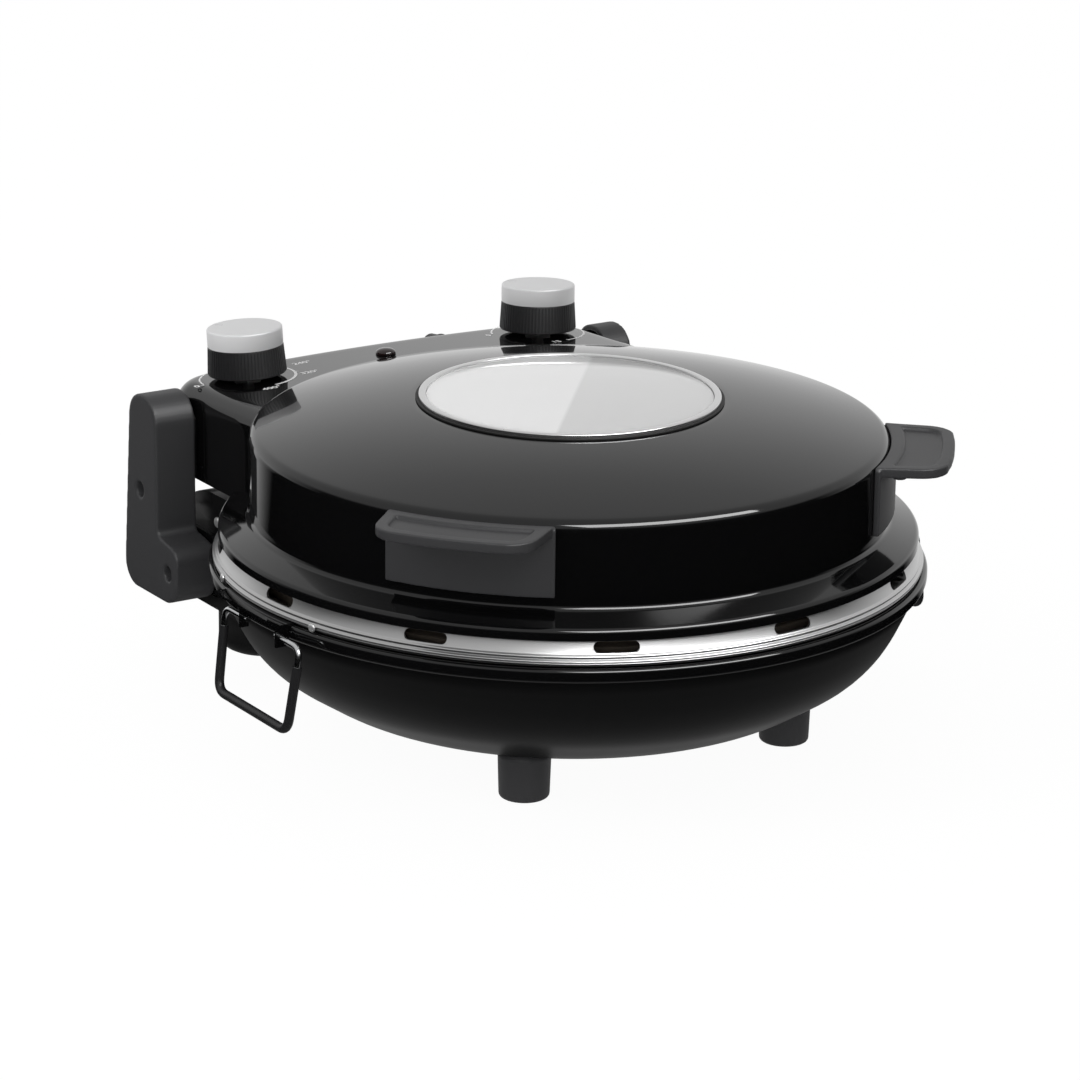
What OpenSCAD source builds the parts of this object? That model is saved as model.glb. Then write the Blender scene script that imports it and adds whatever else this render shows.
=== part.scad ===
// Countertop electric pizza maker: a bowl-shaped base with a baking stone, and a domed lid that
// carries the control box and turns on two hinge pins between plastic hinge arms at the back.
// Millimetres, +Z up, the front is -Y, the part stands on Z = 0.
// Every piece is drawn about the chamber's axis, with heights measured from the lower edge of the
// slotted band, and placed() moves it to the part's own origin.

/* [Chamber] */
// Height of the slotted band's lower edge above the table
rim_z = 88.5; // [84:0.5:110]
// Outer radius of the slotted band at its upper edge
band_top_r = 170; // [160:1:180]
// How far the band flares out towards its lower edge
band_flare = 5; // [3:0.5:7]
// Height of the slotted band
band_h = 11.3; // [10:0.1:13]
// Number of vent slots round the band
slot_count = 12; // [6:1:18]
// Length of one vent slot
slot_l = 21.5; // [12:0.5:28]
// Height of one vent slot
slot_h = 5; // [3:0.5:6]
// Thickness of the painted sheet steel
sheet_t = 1.2; // [0.8:0.1:1.6]
// Thickness of the bright liner, pan and band sheet
liner_t = 0.8; // [0.6:0.1:1]

/* [Base] */
// Clearance between the bowl's bottom and the table
bowl_clear = 23; // [18:1:30]
// Radius of the bowl's flat bottom
bowl_flat_r = 122; // [110:1:130]
// How far the rolled rim stands out beyond the band
rim_out = 2; // [1:0.5:4]
// Height of the rolled rim
rim_h = 7; // [5:0.5:9]
// Gap between the band and the rolled rim
rim_gap = 1.6; // [1:0.2:3]
// Distance of each foot's middle inside the edge of the flat bottom
foot_inset = 11; // [9:1:24]
// Angle of the feet from the front and from the back
foot_angle = 43; // [38:1:50]
// Diameter of a foot at its top
foot_d = 26; // [22:1:32]
// How much a foot narrows towards the table
foot_taper = 1.5; // [0:0.5:3]

/* [Baking] */
// Thickness of the baking stone
stone_t = 12; // [8:1:14]
// Clearance round the baking stone
stone_gap = 2; // [1:0.5:4]
// How far the ledge under the stone reaches inwards
ledge_w = 9; // [6:1:14]
// Depth of the pan below the ledge
pan_depth = 34; // [28:1:36]
// Diameter of the tubular heaters
heater_d = 6.5; // [5:0.5:8]
// Radius of the lower heater's loop
lower_loop_r = 105; // [80:1:120]
// Radius of the upper heater's loop
upper_loop_r = 118; // [95:1:125]

/* [Lid] */
// Width of the lid's flange from the wall to the band
flange_w = 13; // [10:0.5:16]
// Running gap between the lid's lip and the band
lip_gap = 1; // [0.8:0.1:1.5]
// Height of the flange's inner end above the band's lower edge
flange_z = 20; // [18:0.5:23]
// Height of the straight wall's top
wall_top = 57.8; // [52:0.2:62]
// Radius of the rounded shoulder between wall and dome
shoulder_r = 6; // [4:0.5:10]
// Rise of the dome from the shoulder to the window
dome_rise = 14; // [10:0.5:18]
// Space between the lid and its bright liner
liner_space = 7; // [6:0.5:9]

/* [Window] */
// Outer radius of the window ring
window_r = 74; // [60:1:80]
// Width of the window ring's top face
window_ring_w = 3.6; // [3:0.2:6]
// Thickness of the outer glass
outer_glass_t = 4; // [3:0.5:4]
// Thickness of the inner glass
inner_glass_t = 3; // [2:0.5:3.5]

/* [Control box] */
// Width of the control box
box_w = 242; // [236:1:250]
// Distance of the box's back behind the hinge axis
box_reach = 23.5; // [20:0.5:26]
// Height of the box's lower edge above the band's lower edge
box_floor = 12.6; // [12.4:0.1:14]
// Height of the box's top at the knobs
box_top = 60; // [58:0.1:62]
// Slope of the box's top towards the back, in degrees
box_tilt = 3.2; // [1:0.1:5]
// Radius of the crowned top across the box
crown_r = 2370; // [1500:10:4000]
// Rounding of the box's top edges
box_edge_r = 10.5; // [5:0.5:11]
// Rounding of the box's back corners seen from above
box_corner_r = 22; // [12:1:24]

/* [Controls] */
// Distance of each knob's middle from the box's side
knob_side = 33.6; // [30:0.1:44]
// Distance of the knobs in front of the box's back
knob_back = 30; // [27:0.5:36]
// Diameter of a knob at its cap
knob_d = 38.6; // [32:0.2:44]
// How much wider the knob is at its foot
knob_flare = 1.8; // [0:0.2:4]
// Height of the black part of a knob
knob_h = 14.6; // [12:0.2:18]
// Height of the bright cap
cap_h = 9.2; // [6:0.2:11]
// Gap between the knob and the box
knob_gap = 2.6; // [2.4:0.1:5]
// Diameter of the switch shafts
shaft_d = 6; // [5:0.5:7]
// Radial clearance of a running fit
run_fit = 0.05; // [0.03:0.01:0.09]
// Diameter of the pilot lamp's lens
lamp_d = 10.5; // [8:0.5:13]
// Place of the pilot lamp left of the middle
lamp_x = -7; // [-20:1:20]
// Place of the cord gland right of the middle
gland_x = 46; // [20:1:70]

/* [Hinge] */
// Height of the hinge axis above the band's lower edge
hinge_z = 7.5; // [7:0.1:8]
// Distance of the hinge axis in front of the band's back
hinge_inset = 1.5; // [1:0.1:2.5]
// Diameter of the hinge pins
pin_d = 8; // [6:0.5:9]
// Thickness of the hinge plates
plate_t = 2.5; // [2:0.1:3]
// Thickness of the left hinge arm, which also hides the wiring
left_arm_w = 22.8; // [18:0.2:26]
// Thickness of the right hinge arm
right_arm_w = 15.6; // [15:0.2:26]
// Wall of the hollow hinge arms
arm_wall = 3; // [2:0.2:3.6]
// Height of the hinge arms above the band's lower edge
arm_top = 57.9; // [56:0.1:61]
// Depth of the hinge arms below the band's lower edge
arm_low = 45.5; // [42:0.5:50]

/* [Handles] */
// Angle of each lid handle from the front
handle_angle = 50; // [40:0.5:62]
// Width of a handle at the wall
handle_w = 81; // [70:1:96]
// Reach of a handle beyond the wall
handle_reach = 31; // [24:0.5:38]
// Thickness of the handle's shelf
shelf_t = 5; // [4:0.2:6]
// Depth of the finger dish in the shelf
dish_depth = 1.6; // [1:0.2:2.4]
// Height of the handle's wall plate
handle_plate_h = 34; // [28:0.5:36]
// Thickness of the handle's wall plate
handle_plate_t = 3; // [2.4:0.2:4]

/* [Carrying bails] */
// Distance of the bails' middle in front of the chamber's axis
bail_front = 12; // [6:0.5:14]
// Distance between the two legs of a bail at its hooks
bail_w = 72; // [66:0.5:80]
// Distance between the legs at the bottom
bail_low_w = 67; // [56:0.5:70]
// Length of a bail from its axis to its lower bar
bail_l = 41; // [34:0.5:46]
// Diameter of the bail's wire
wire_d = 3.2; // [2.6:0.1:3.6]
// Wall of the black sleeve on the wire
sleeve_t = 0.7; // [0.5:0.1:1]
// Lean of the resting bail away from the bowl, in degrees
bail_lean = 8; // [4:1:12]

/* [Hidden] */

// Facets of large turned shapes, of bores and of small round parts
ROUND = 180;
FINE = 48;
// Gap between sheets that lie on each other but don't press
skin_gap = 0.3;

// Radii of the chamber, from the band outwards and inwards
band_low_r = band_top_r + band_flare;
rim_r = band_low_r + rim_out;
collar_r = band_low_r - 3;
wall_r = band_top_r + lip_gap + sheet_t - flange_w - 2.2;
lip_in_r = band_top_r + lip_gap;
lip_out_r = lip_in_r + sheet_t;
liner_r = wall_r - liner_space;
pan_r = band_top_r - liner_t - 1.6;

// Plan of the back of the machine
hinge_y = band_low_r - hinge_inset;
box_half = box_w / 2;
knob_x = box_half - knob_side;
box_back = hinge_y + box_reach;
box_front = sqrt(wall_r * wall_r - box_half * box_half) - 3;
knob_y = box_back - knob_back;
crown_angle = asin(knob_x / crown_r);
crown_top = box_top + crown_r - sqrt(crown_r * crown_r - knob_x * knob_x);

// Distance of each foot from the chamber's axis
foot_pitch_r = bowl_flat_r - foot_inset;

// Heights of the base, below the band's lower edge
bowl_bottom = bowl_clear - rim_z;
rim_top = -rim_gap;
rim_bottom = rim_top - rim_h;
stone_top = 4;
ledge_z = stone_top - stone_t;
pan_floor = ledge_z - pan_depth;
stone_r = pan_r - 5 - stone_gap;

// Heights of the lid
shoulder_slope = 15;
dome_edge_z = wall_top + shoulder_r * cos(shoulder_slope);
dome_top = dome_edge_z + dome_rise;
flange_slope = 19;
lip_bottom = band_h - 0.5;

// Window stack, from the dome's top down to the liner
gasket_w = 1.6;
gasket_t = 1;
hole_r = window_r - window_ring_w + 1.2;
glass_r = window_r - window_ring_w;
ring_top_t = 1.6;
ring_neck = 6.4;
seal_t = 2;
liner_top = dome_top - liner_space - 3.5;
inner_glass_r = glass_r - 4;

// The part's origin: under the middle of its box
gland_out = 11;
plan_y = (rim_r - box_back - gland_out) / 2;

// General shapes
function unit(v) = v / norm(v);
function arc(c, r, a0, a1, n) =
    [for (i = [0 : n]) let (a = a0 + (a1 - a0) * i / n) c + r * [cos(a), sin(a)]];
function bulge(a, b, s, n) =
    let (c = norm(b - a) / 2, r = (c * c + s * s) / (2 * s), d = unit(b - a),
         o = (a + b) / 2 + [d[1], -d[0]] * (r - s),
         a0 = atan2(a[1] - o[1], a[0] - o[0]), a1 = atan2(b[1] - o[1], b[0] - o[0]))
    arc(o, r, a0, a1, n);
function left_of(a, b) = let (d = unit(b - a)) [-d[1], d[0]];
function shifted(p, i, t) =
    let (n = len(p),
         a = i > 0 ? left_of(p[i - 1], p[i]) : left_of(p[0], p[1]),
         b = i < n - 1 ? left_of(p[i], p[i + 1]) : left_of(p[n - 2], p[n - 1]),
         m = unit(a + b))
    p[i] + m * t / (m * a);
function shift_path(p, t) = [for (i = [0 : len(p) - 1]) shifted(p, i, t)];
// Curve through all the points of a path, with n steps between two of them
function smooth(p, n) = concat([for (i = [0 : len(p) - 2], k = [0 : n - 1])
    let (t = k / n, a = p[max(i - 1, 0)], b = p[i], c = p[i + 1], d = p[min(i + 2, len(p) - 1)])
    (2 * b + (c - a) * t + (2 * a - 5 * b + 4 * c - d) * t * t
     + (3 * b - a - 3 * c + d) * t * t * t) / 2], [p[len(p) - 1]]);
function reversed(p) = [for (i = [len(p) - 1 : -1 : 0]) p[i]];
function sheet(p, t) = concat(p, reversed(shift_path(p, t)));

module placed() translate([0, plan_y, rim_z]) children();
module turned(points) rotate_extrude($fn = ROUND) polygon(points);
module pair() { children(); mirror([1, 0, 0]) children(); }
// Extrusion of a Y-Z outline along X, from x0 to x1
module across(x0, x1, points)
    translate([x0, 0, 0]) rotate([90, 0, 90]) linear_extrude(x1 - x0) polygon(points);
// Extrusion of an X-Z outline along Y, centred on the chamber's axis
module along(length, points)
    rotate([90, 0, 0]) linear_extrude(length, center = true) polygon(points);
module rod_x(x0, x1, y, z, r)
    translate([x0, y, z]) rotate([0, 90, 0]) cylinder(h = x1 - x0, r = r, $fn = FINE);
module rod_y(x, y0, y1, z, r)
    translate([x, y0, z]) rotate([-90, 0, 0]) cylinder(h = y1 - y0, r = r, $fn = FINE);
module at_angle(a) rotate([0, 0, a]) children();

// Base: the pressed bowl with its back housing. The bowl's curve is given as shares of its run
// from the flat bottom to the rim and of its drop below the rim.
bowl_shares = [[1, 0], [0.984, 0.06], [0.95, 0.13], [0.89, 0.249], [0.81, 0.397],
    [0.704, 0.546], [0.552, 0.689], [0.34, 0.819], [0.14, 0.934], [0, 0.992], [-0.08, 1]];
function bowl_curve() =
    let (top = rim_bottom - 2, drop = top - bowl_bottom, run = collar_r - bowl_flat_r)
    smooth([for (q = bowl_shares) [bowl_flat_r + run * q[0], top - drop * q[1]]], 3);
bowl_path = concat([[collar_r, rim_top + 0.6]], bowl_curve());
bowl_closed = concat(bowl_path, [[0, bowl_bottom]]);
bowl_inner = shift_path(bowl_closed, -sheet_t);

// Side outline of the housing between the hinge arms: its top is rounded to clear the box
housing_half = box_half - 0.8;
housing_top = hinge_z + 1.5;
housing_back = hinge_y + 2.5;
housing_low = -52;
housing_front = hinge_y - 75;
pod_r = 24.5;
pod_x = housing_half - 27;
pod_y = hinge_y - 35;
pod_low = -74.5;
function housing_side(e) = concat(
    [[housing_front + e, housing_low + e], [housing_front + e, housing_top - e]],
    arc([housing_back - 30, housing_top - 40], 40 - e, 90, acos((30 - e) / (40 - e)), 10),
    arc([housing_back - 8, housing_low + 8], 8 - e, 0, -90, 5));
module housing(e) {
    across(-housing_half + e, housing_half - e, housing_side(e));
    pair() translate([pod_x, pod_y, 0]) rotate_extrude($fn = ROUND) polygon(concat(
        [[0, housing_low + 12], [0, pod_low + e]],
        arc([pod_r - 7, pod_low + 7], 7 - e, -90, 0, 5),
        [[pod_r - e, housing_low + 12]]));
}

module base_shell() color("#1b1b1c") placed() difference() {
    union() {
        difference() {
            turned(concat(bowl_closed, reversed(bowl_inner)));
            intersection() {
                housing(sheet_t);
                translate([-200, 0, -150]) cube([400, 300, 150 + rim_bottom - 2]);
            }
        }
        difference() {
            housing(0);
            housing(sheet_t);
            turned(concat([[collar_r - sheet_t, housing_top + 5]], bowl_inner,
                          [[0, housing_top + 5]]));
            cylinder(h = 40, r = band_low_r + skin_gap, $fn = ROUND);
            translate([0, 0, rim_bottom]) cylinder(h = 40, r = rim_r, $fn = ROUND);
        }
    }
    at_feet() translate([0, 0, bowl_clear - 5]) cylinder(h = 10, r = 2.2, $fn = FINE);
    at_end_rivets() rivet_bore(2.8);
}

// Ring rolled round the base under the band, glossy black
module rolled_rim() color("#0d0d0e") placed() difference() {
    turned(concat(
        [[collar_r + 0.05, rim_bottom + 1], [collar_r + 0.05, rim_top]],
        arc([rim_r - 2, rim_top - 2], 2, 90, 0, 5),
        arc([rim_r - 2.5, rim_bottom + 2.5], 2.5, 0, -90, 5),
        [[collar_r + 1, rim_bottom]]));
    translate([0, housing_back + 20, 0]) cube([400, 40, 60], center = true);
}

// Bright slotted band that stands on the rim, with two rolled beads near its foot
band_beads = [[0.32, 0.7], [0.14, 0.9]];
slot_phase = 4.7;
function band_outer() = concat(
    [[band_low_r - 1.6, 0], [band_low_r - 0.6, 0], [band_low_r, 0.5]],
    [for (b = reversed(band_beads), i = [0 : 4])
        let (z = band_h * b[0] + (i - 2) * 0.6,
             r = band_low_r - band_flare * z / band_h)
        [r + (i == 1 || i == 2 || i == 3 ? b[1] * 0.4 : -0.3), z]],
    [[band_top_r, band_h]]);
module slotted_band() color("#b9bbbd") placed() difference() {
    turned(concat(
        band_outer(),
        [[band_top_r - liner_t, band_h], [band_low_r - 1.6 - liner_t, 0.6],
         [collar_r - 1.2, 0.6], [collar_r - 1.2, rim_top + 0.6], [band_low_r - 1.6, rim_top + 0.6]]));
    at_rivets() rivet_bore(2.1);
    for (i = [0 : slot_count - 1]) at_angle(slot_phase + i * 360 / slot_count)
        translate([0, -band_top_r - 2, band_h - slot_h / 2 - 1.2]) rotate([90, 0, 0])
            for (s = [-1, 1]) {
                translate([s * (slot_l - slot_h) / 2, 0, 0])
                    cylinder(h = 24, r = slot_h / 2, center = true, $fn = FINE);
                cube([slot_l - slot_h, slot_h, 24], center = true);
            }
}

// Bright pan: hangs on the rim, holds the stone on its ledge and the lower heater below it
function pan_path() = [
    [collar_r - 0.2, 0.62 + liner_t], [pan_r - 4, 0.62 + liner_t], [pan_r - 5, ledge_z],
    [pan_r - 5 - ledge_w, ledge_z], [pan_r - 9 - ledge_w, pan_floor + 8],
    [pan_r - 14 - ledge_w, pan_floor + 2], [pan_r - 20 - ledge_w, pan_floor], [0.01, pan_floor]];
leg_x = 18;
lower_loop_z = pan_floor + 14;
module inner_pan() color("#c9c9c6") placed() difference() {
    turned(sheet(pan_path(), liner_t));
    for (s = [-1, 1]) rod_y(s * leg_x, pan_r - 45, pan_r, lower_loop_z, heater_d / 2 + 1);
}

// Tubular heater: one loop, two bends and two legs towards the back. Each stretch is a little
// thinner than the one before and enters it, as drawn tube does at a swaged joint.
bite = 0.2;
step = 0.02;
heater_bend = 12;
module heater(loop_r, z, leg_end) {
    a = asin((leg_x + heater_bend) / (loop_r + heater_bend));
    bend_y = (loop_r + heater_bend) * cos(a);
    extra = bite / heater_bend * 180 / PI;
    translate([0, 0, z]) at_angle(90 + a) rotate_extrude(angle = 360 - 2 * a, $fn = ROUND)
        translate([loop_r, 0]) circle(d = heater_d, $fn = FINE);
    pair() {
        translate([leg_x + heater_bend, bend_y, z]) at_angle(180)
            rotate_extrude(angle = 90 - a + extra, $fn = ROUND)
                translate([heater_bend, 0]) circle(r = heater_d / 2 - step, $fn = FINE);
        rod_y(leg_x, bend_y - bite, leg_end, z, heater_d / 2 - 2 * step);
        rod_y(leg_x, leg_end - 1, leg_end + 9, z, 1.8);
    }
}
module lower_heater() color("#4a4744") placed()
    heater(lower_loop_r, lower_loop_z, pan_r - 14);

// Sheet saddle between a heater and the sheet that carries it; h is the gap that it bridges
clip_w = 8;
module heater_clip(loop_r, h) difference() {
    translate([loop_r - 8, -clip_w / 2, 0]) cube([16, clip_w, h + heater_d / 2]);
    translate([loop_r - 5, -clip_w, h - 1.5 - 20]) cube([10, 2 * clip_w, 20]);
    translate([loop_r, 0, h + heater_d / 2]) rotate([90, 0, 0])
        cylinder(h = 30, d = heater_d + 0.3, center = true, $fn = FINE);
    translate([loop_r, 0, h + heater_d / 2 + 5])
        cube([heater_d + 0.3, 30, 10], center = true);
}
module lower_heater_clips() color("#a9a9a6") placed()
    for (a = [-30, 90, 210]) at_angle(a) translate([0, 0, pan_floor])
        heater_clip(lower_loop_r, lower_loop_z - pan_floor - heater_d / 2);

module baking_stone() color("#cdb994") placed()
    turned([[0, ledge_z], [stone_r - 1, ledge_z], [stone_r, ledge_z + 1],
            [stone_r, stone_top - 1], [stone_r - 1, stone_top], [0, stone_top]]);

// Feet under the bowl, each with a screw from below
module at_feet()
    for (s = [-1, 1], t = [0, 180]) at_angle(t + s * foot_angle)
        translate([0, foot_pitch_r, -rim_z]) children();
foot_bore_z = 12;
module feet() color("#2a2a2b") placed() difference() {
    at_feet() difference() {
        rotate_extrude($fn = FINE) polygon(concat(
            [[0, 0]],
            arc([foot_d / 2 - foot_taper / 2 - 2, 2], 2, -90, 0, 4),
            [[foot_d / 2, bowl_clear + 4], [0, bowl_clear + 4]]));
        translate([0, 0, -1]) cylinder(h = foot_bore_z + 1, r = 4.5, $fn = FINE);
        cylinder(h = 60, r = 2.2, $fn = FINE);
    }
    turned(concat(bowl_closed, [[0, 0]]));
}
module foot_screws() color("#8d8f91") placed() at_feet() {
    translate([0, 0, foot_bore_z - 3]) cylinder(h = 3, r = 4, $fn = FINE);
    translate([0, 0, foot_bore_z]) cylinder(h = bowl_clear - foot_bore_z + 6, r = 2.1, $fn = FINE);
    translate([0, 0, bowl_clear + sheet_t]) cylinder(h = 3, r = 4, $fn = 6);
}

// Hinge, from the middle outwards: box wall, lid ear, gap, base bracket, hollow arm
ear_x = box_half + plate_t;
bracket_x = ear_x + 0.5;
arm_x = bracket_x;
toe_y = hinge_y - 28.6;
toe_z = hinge_z - 37;
bracket_low = -44;
function bracket_upper() = concat(
    [[hinge_y - 11, -12], [hinge_y - 11, hinge_z]],
    arc([hinge_y, hinge_z], 11, 180, 0, 12), [[hinge_y + 11, -12]]);
module hinge_bracket() difference() {
    union() {
        translate([housing_half, toe_y - 8, bracket_low])
            cube([plate_t, hinge_y - toe_y + 8, -12 - bracket_low]);
        translate([housing_half, hinge_y - 11, -12 - plate_t])
            cube([bracket_x + plate_t - housing_half, 11, plate_t]);
        across(bracket_x, bracket_x + plate_t, bracket_upper());
        translate([bracket_x, hinge_y - 11, -12 - plate_t]) cube([plate_t, 22, plate_t + 0.01]);
    }
    rod_x(box_half - 5, arm_x + 20, hinge_y, hinge_z, pin_d / 2);
    rod_x(box_half - 5, arm_x + 20, toe_y, toe_z, 2);
}
module left_hinge_bracket() color("#0f0f10") placed() mirror([1, 0, 0]) hinge_bracket();
module right_hinge_bracket() color("#0f0f10") placed() hinge_bracket();

pin_head_t = 2;
module hinge_pins() color("#9c9ea0") placed() pair() difference() {
    union() {
        rod_x(box_half, bracket_x + plate_t, hinge_y, hinge_z, pin_d / 2);
        rod_x(bracket_x + plate_t, bracket_x + plate_t + pin_head_t, hinge_y, hinge_z,
              pin_d / 2 + 2.5);
    }
    rod_x(bracket_x - 2, arm_x + 20, hinge_y, hinge_z, 1.6);
}

// Hollow moulded arm over each hinge, open towards the machine, held by two sunk screws
arm_front = hinge_y - 18;
arm_back = hinge_y + 11;
toe_front = toe_y - 10.2;
toe_top = toe_z + 15;
arm_foot_back = hinge_y + 17.5;
function arm_side(e) = concat(
    arc([arm_front + 13.5, arm_top - 13.5], 13.5 - e, 180, 90, 9),
    arc([arm_back - 12.5, arm_top - 12.5], 12.5 - e, 90, 6, 8),
    arc([arm_foot_back - 12.5, -arm_low + 12.5], 12.5 - e, 3, -90, 8),
    arc([toe_front + 13, -arm_low + 13], 13 - e, -90, -180, 8),
    arc([toe_front + 9, toe_top - 9], 9 - e, 180, 96, 7),
    arc([arm_front - 4, toe_top + 5.6], 4 + e, -84, 0, 5));
boss_r = 6.5;
sink_r = 4;
sink_depth = 7;
module hinge_arm(w) difference() {
    union() {
        difference() {
            across(arm_x, arm_x + w, arm_side(0));
            across(arm_x - 1, arm_x + w - arm_wall, arm_side(arm_wall));
        }
        rod_x(bracket_x + plate_t + pin_head_t, arm_x + w - 1, hinge_y, hinge_z, boss_r);
        rod_x(housing_half + plate_t, arm_x + w - 1, toe_y, toe_z, boss_r);
    }
    for (p = [[hinge_y, hinge_z], [toe_y, toe_z]]) {
        rod_x(arm_x + w - sink_depth, arm_x + w + 1, p[0], p[1], sink_r);
        rod_x(box_half, arm_x + w, p[0], p[1], 1.8);
    }
}
module left_hinge_arm() color("#303031") placed() mirror([1, 0, 0]) hinge_arm(left_arm_w);
module right_hinge_arm() color("#303031") placed() hinge_arm(right_arm_w);

module screws_of_arm(w)
    for (p = [[hinge_y, hinge_z, bracket_x - 0.75],
              [toe_y, toe_z, housing_half + 0.1]]) difference() {
        union() {
            rod_x(arm_x + w - sink_depth, arm_x + w - sink_depth + 2, p[0], p[1], sink_r - 0.4);
            rod_x(p[2], arm_x + w - sink_depth, p[0], p[1], 1.55);
        }
        for (a = [0, 90]) translate([arm_x + w - sink_depth + 2, p[0], p[1]]) rotate([a, 0, 0])
            cube([1.6, 4.4, 0.9], center = true);
    }
module arm_screws() color("#a5a7a9") placed() {
    mirror([1, 0, 0]) screws_of_arm(left_arm_w);
    screws_of_arm(right_arm_w);
}

// Rivets of the bail brackets on the band's foot and of the hinge plates on the housing's ends
module rivet(r) rotate([0, 90, 0]) rotate_extrude($fn = FINE) polygon(concat(
    [[0, -1.5], [0.5 * r, -1.5], [0.5 * r, 0]],
    [for (a = [0 : 15 : 75]) r * [cos(a), 0.6 * sin(a)]], [[0, 0.6 * r]]));
module rivet_bore(r) rotate([0, 90, 0]) cylinder(h = 12, r = 0.5 * r + 0.02, center = true, $fn = FINE);
module at_rivets() pair()
    for (y = [-bail_front - cheek_half - 13, -bail_front + cheek_half + tray_tail + 13])
        at_angle(asin(y / band_low_r)) translate([band_low_r, 0, 0.7]) children();
// The end rivets stay clear of the rolled rim
end_rivet_y = max(hinge_y - 34, sqrt(pow(rim_r + 6.8, 2) - pow(housing_half, 2)));
module at_end_rivets() pair() translate([housing_half, end_rivet_y, -5]) children();
module base_rivets() color("#b4b6b8") placed() {
    at_rivets() rivet(2.1);
    at_end_rivets() rivet(2.8);
}

// Bail bracket: a sheet tray on the rim with two turned-down cheeks that carry the wire's hooks.
// The tray reaches further back than the rear cheek.
bail_x = rim_r + wire_d / 2 + skin_gap;
bail_z = rim_top - 5;
cheek_half = bail_w / 2 - 18;
cheek_t = 1.4;
tray_out = bail_x + 2.7;
tray_tail = 25;
module bail_bracket() difference() {
    union() {
        translate([band_low_r - 12, -bail_front - cheek_half, rim_top])
            cube([tray_out - band_low_r + 12, 2 * cheek_half + tray_tail, cheek_t]);
        for (s = [-1, 1])
            translate([bail_x - 6, -bail_front + s * (cheek_half - cheek_t / 2) - cheek_t / 2,
                       bail_z - 4.5])
                cube([tray_out - bail_x + 6, cheek_t, rim_top - bail_z + 5]);
    }
    cylinder(h = 20, r = band_low_r - 0.6, center = true, $fn = ROUND);
    rotate_extrude($fn = ROUND) polygon([[0, rim_top], [rim_r + 0.1, rim_top],
        [rim_r + 0.1, rim_bottom - 4], [0, rim_bottom - 4]]);
    rod_y(bail_x, -bail_front - bail_w, -bail_front + bail_w, bail_z, wire_d / 2 + run_fit);
}
module left_bail_bracket() color("#0d0d0e") placed() mirror([1, 0, 0]) bail_bracket();
module right_bail_bracket() color("#0d0d0e") placed() bail_bracket();

// Lid: one pressing with the dome, the wall, the flange with its lip, and the control box
dome_edge = [wall_r - shoulder_r + shoulder_r * sin(shoulder_slope), dome_edge_z];
flare_r = 3.5;
flare_end = [wall_r + flare_r - flare_r * sin(flange_slope),
             flange_z + flare_r - flare_r * cos(flange_slope)];
lip_r = 3;
lip_start = [lip_out_r - lip_r + lip_r * sin(flange_slope), 0];
lip_z = flare_end[1] - (lip_start[0] - flare_end[0]) * tan(flange_slope) - lip_r * cos(flange_slope);
function lid_path() = concat(
    [[hole_r, dome_top]],
    bulge([window_r + 3, dome_top], dome_edge, 1.6, 10),
    arc([wall_r - shoulder_r, wall_top], shoulder_r, 90 - shoulder_slope - 9, 0, 6),
    arc([wall_r + flare_r, flange_z + flare_r], flare_r, 180, 270 - flange_slope, 5),
    arc([lip_out_r - lip_r, lip_z], lip_r, 90 - flange_slope, 0, 5),
    [[lip_out_r, lip_bottom]]);
lid_inner = shift_path(lid_path(), -sheet_t);

function crown(x, r) = sqrt(r * r - x * x) - crown_r;
function box_section(e) =
    let (half = box_half - e, r = crown_r - e, er = box_edge_r - e, cx = half - er,
         start = asin(cx / r))
    concat(
        [[-half, -90]],
        arc([-cx, crown(cx, r) - er], er, 180, 90 + start, 5),
        [for (i = [-7 : 7]) let (x = cx * i / 8) [x, crown(x, r)]],
        arc([cx, crown(cx, r) - er], er, 90 - start, 0, 5),
        [[half, -90]]);
function box_plan(e) =
    let (half = box_half - e, back = box_back - e, r = box_corner_r - e)
    concat([[half, box_front], [half, back - r]],
           arc([half - r, back - r], r, 0, 90, 8),
           arc([-half + r, back - r], r, 90, 180, 8),
           [[-half, box_front]]);
function box_profile(e) =
    let (top = crown_top - (box_back - knob_y) * tan(box_tilt), r = box_edge_r + 2 - e)
    concat([[box_front - 5, -30], [box_front - 5, top + 30], [box_back - 40, top + 30],
            [box_back - 16, top + 12]],
           arc([box_back - e - r, top - e - r + 0.6], r, 85, 0, 8),
           [[box_back - e, -30]]);
module box_solid(e, bottom) intersection() {
    translate([0, knob_y, crown_top]) rotate([-box_tilt, 0, 0]) along(260, box_section(e));
    translate([0, 0, bottom]) linear_extrude(90) polygon(box_plan(e));
    across(-box_half - 5, box_half + 5, box_profile(e));
}

// Frame of a control on the box's crowned top: side -1 is the thermostat, 1 the timer
module on_top(side) translate([side * knob_x, knob_y, box_top])
    rotate([-box_tilt, side * crown_angle, 0]) children();
bush_r = 5;
lamp_y = knob_y - 2;
gland_z = box_top - 9.5;
gland_r = 5;

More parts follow.
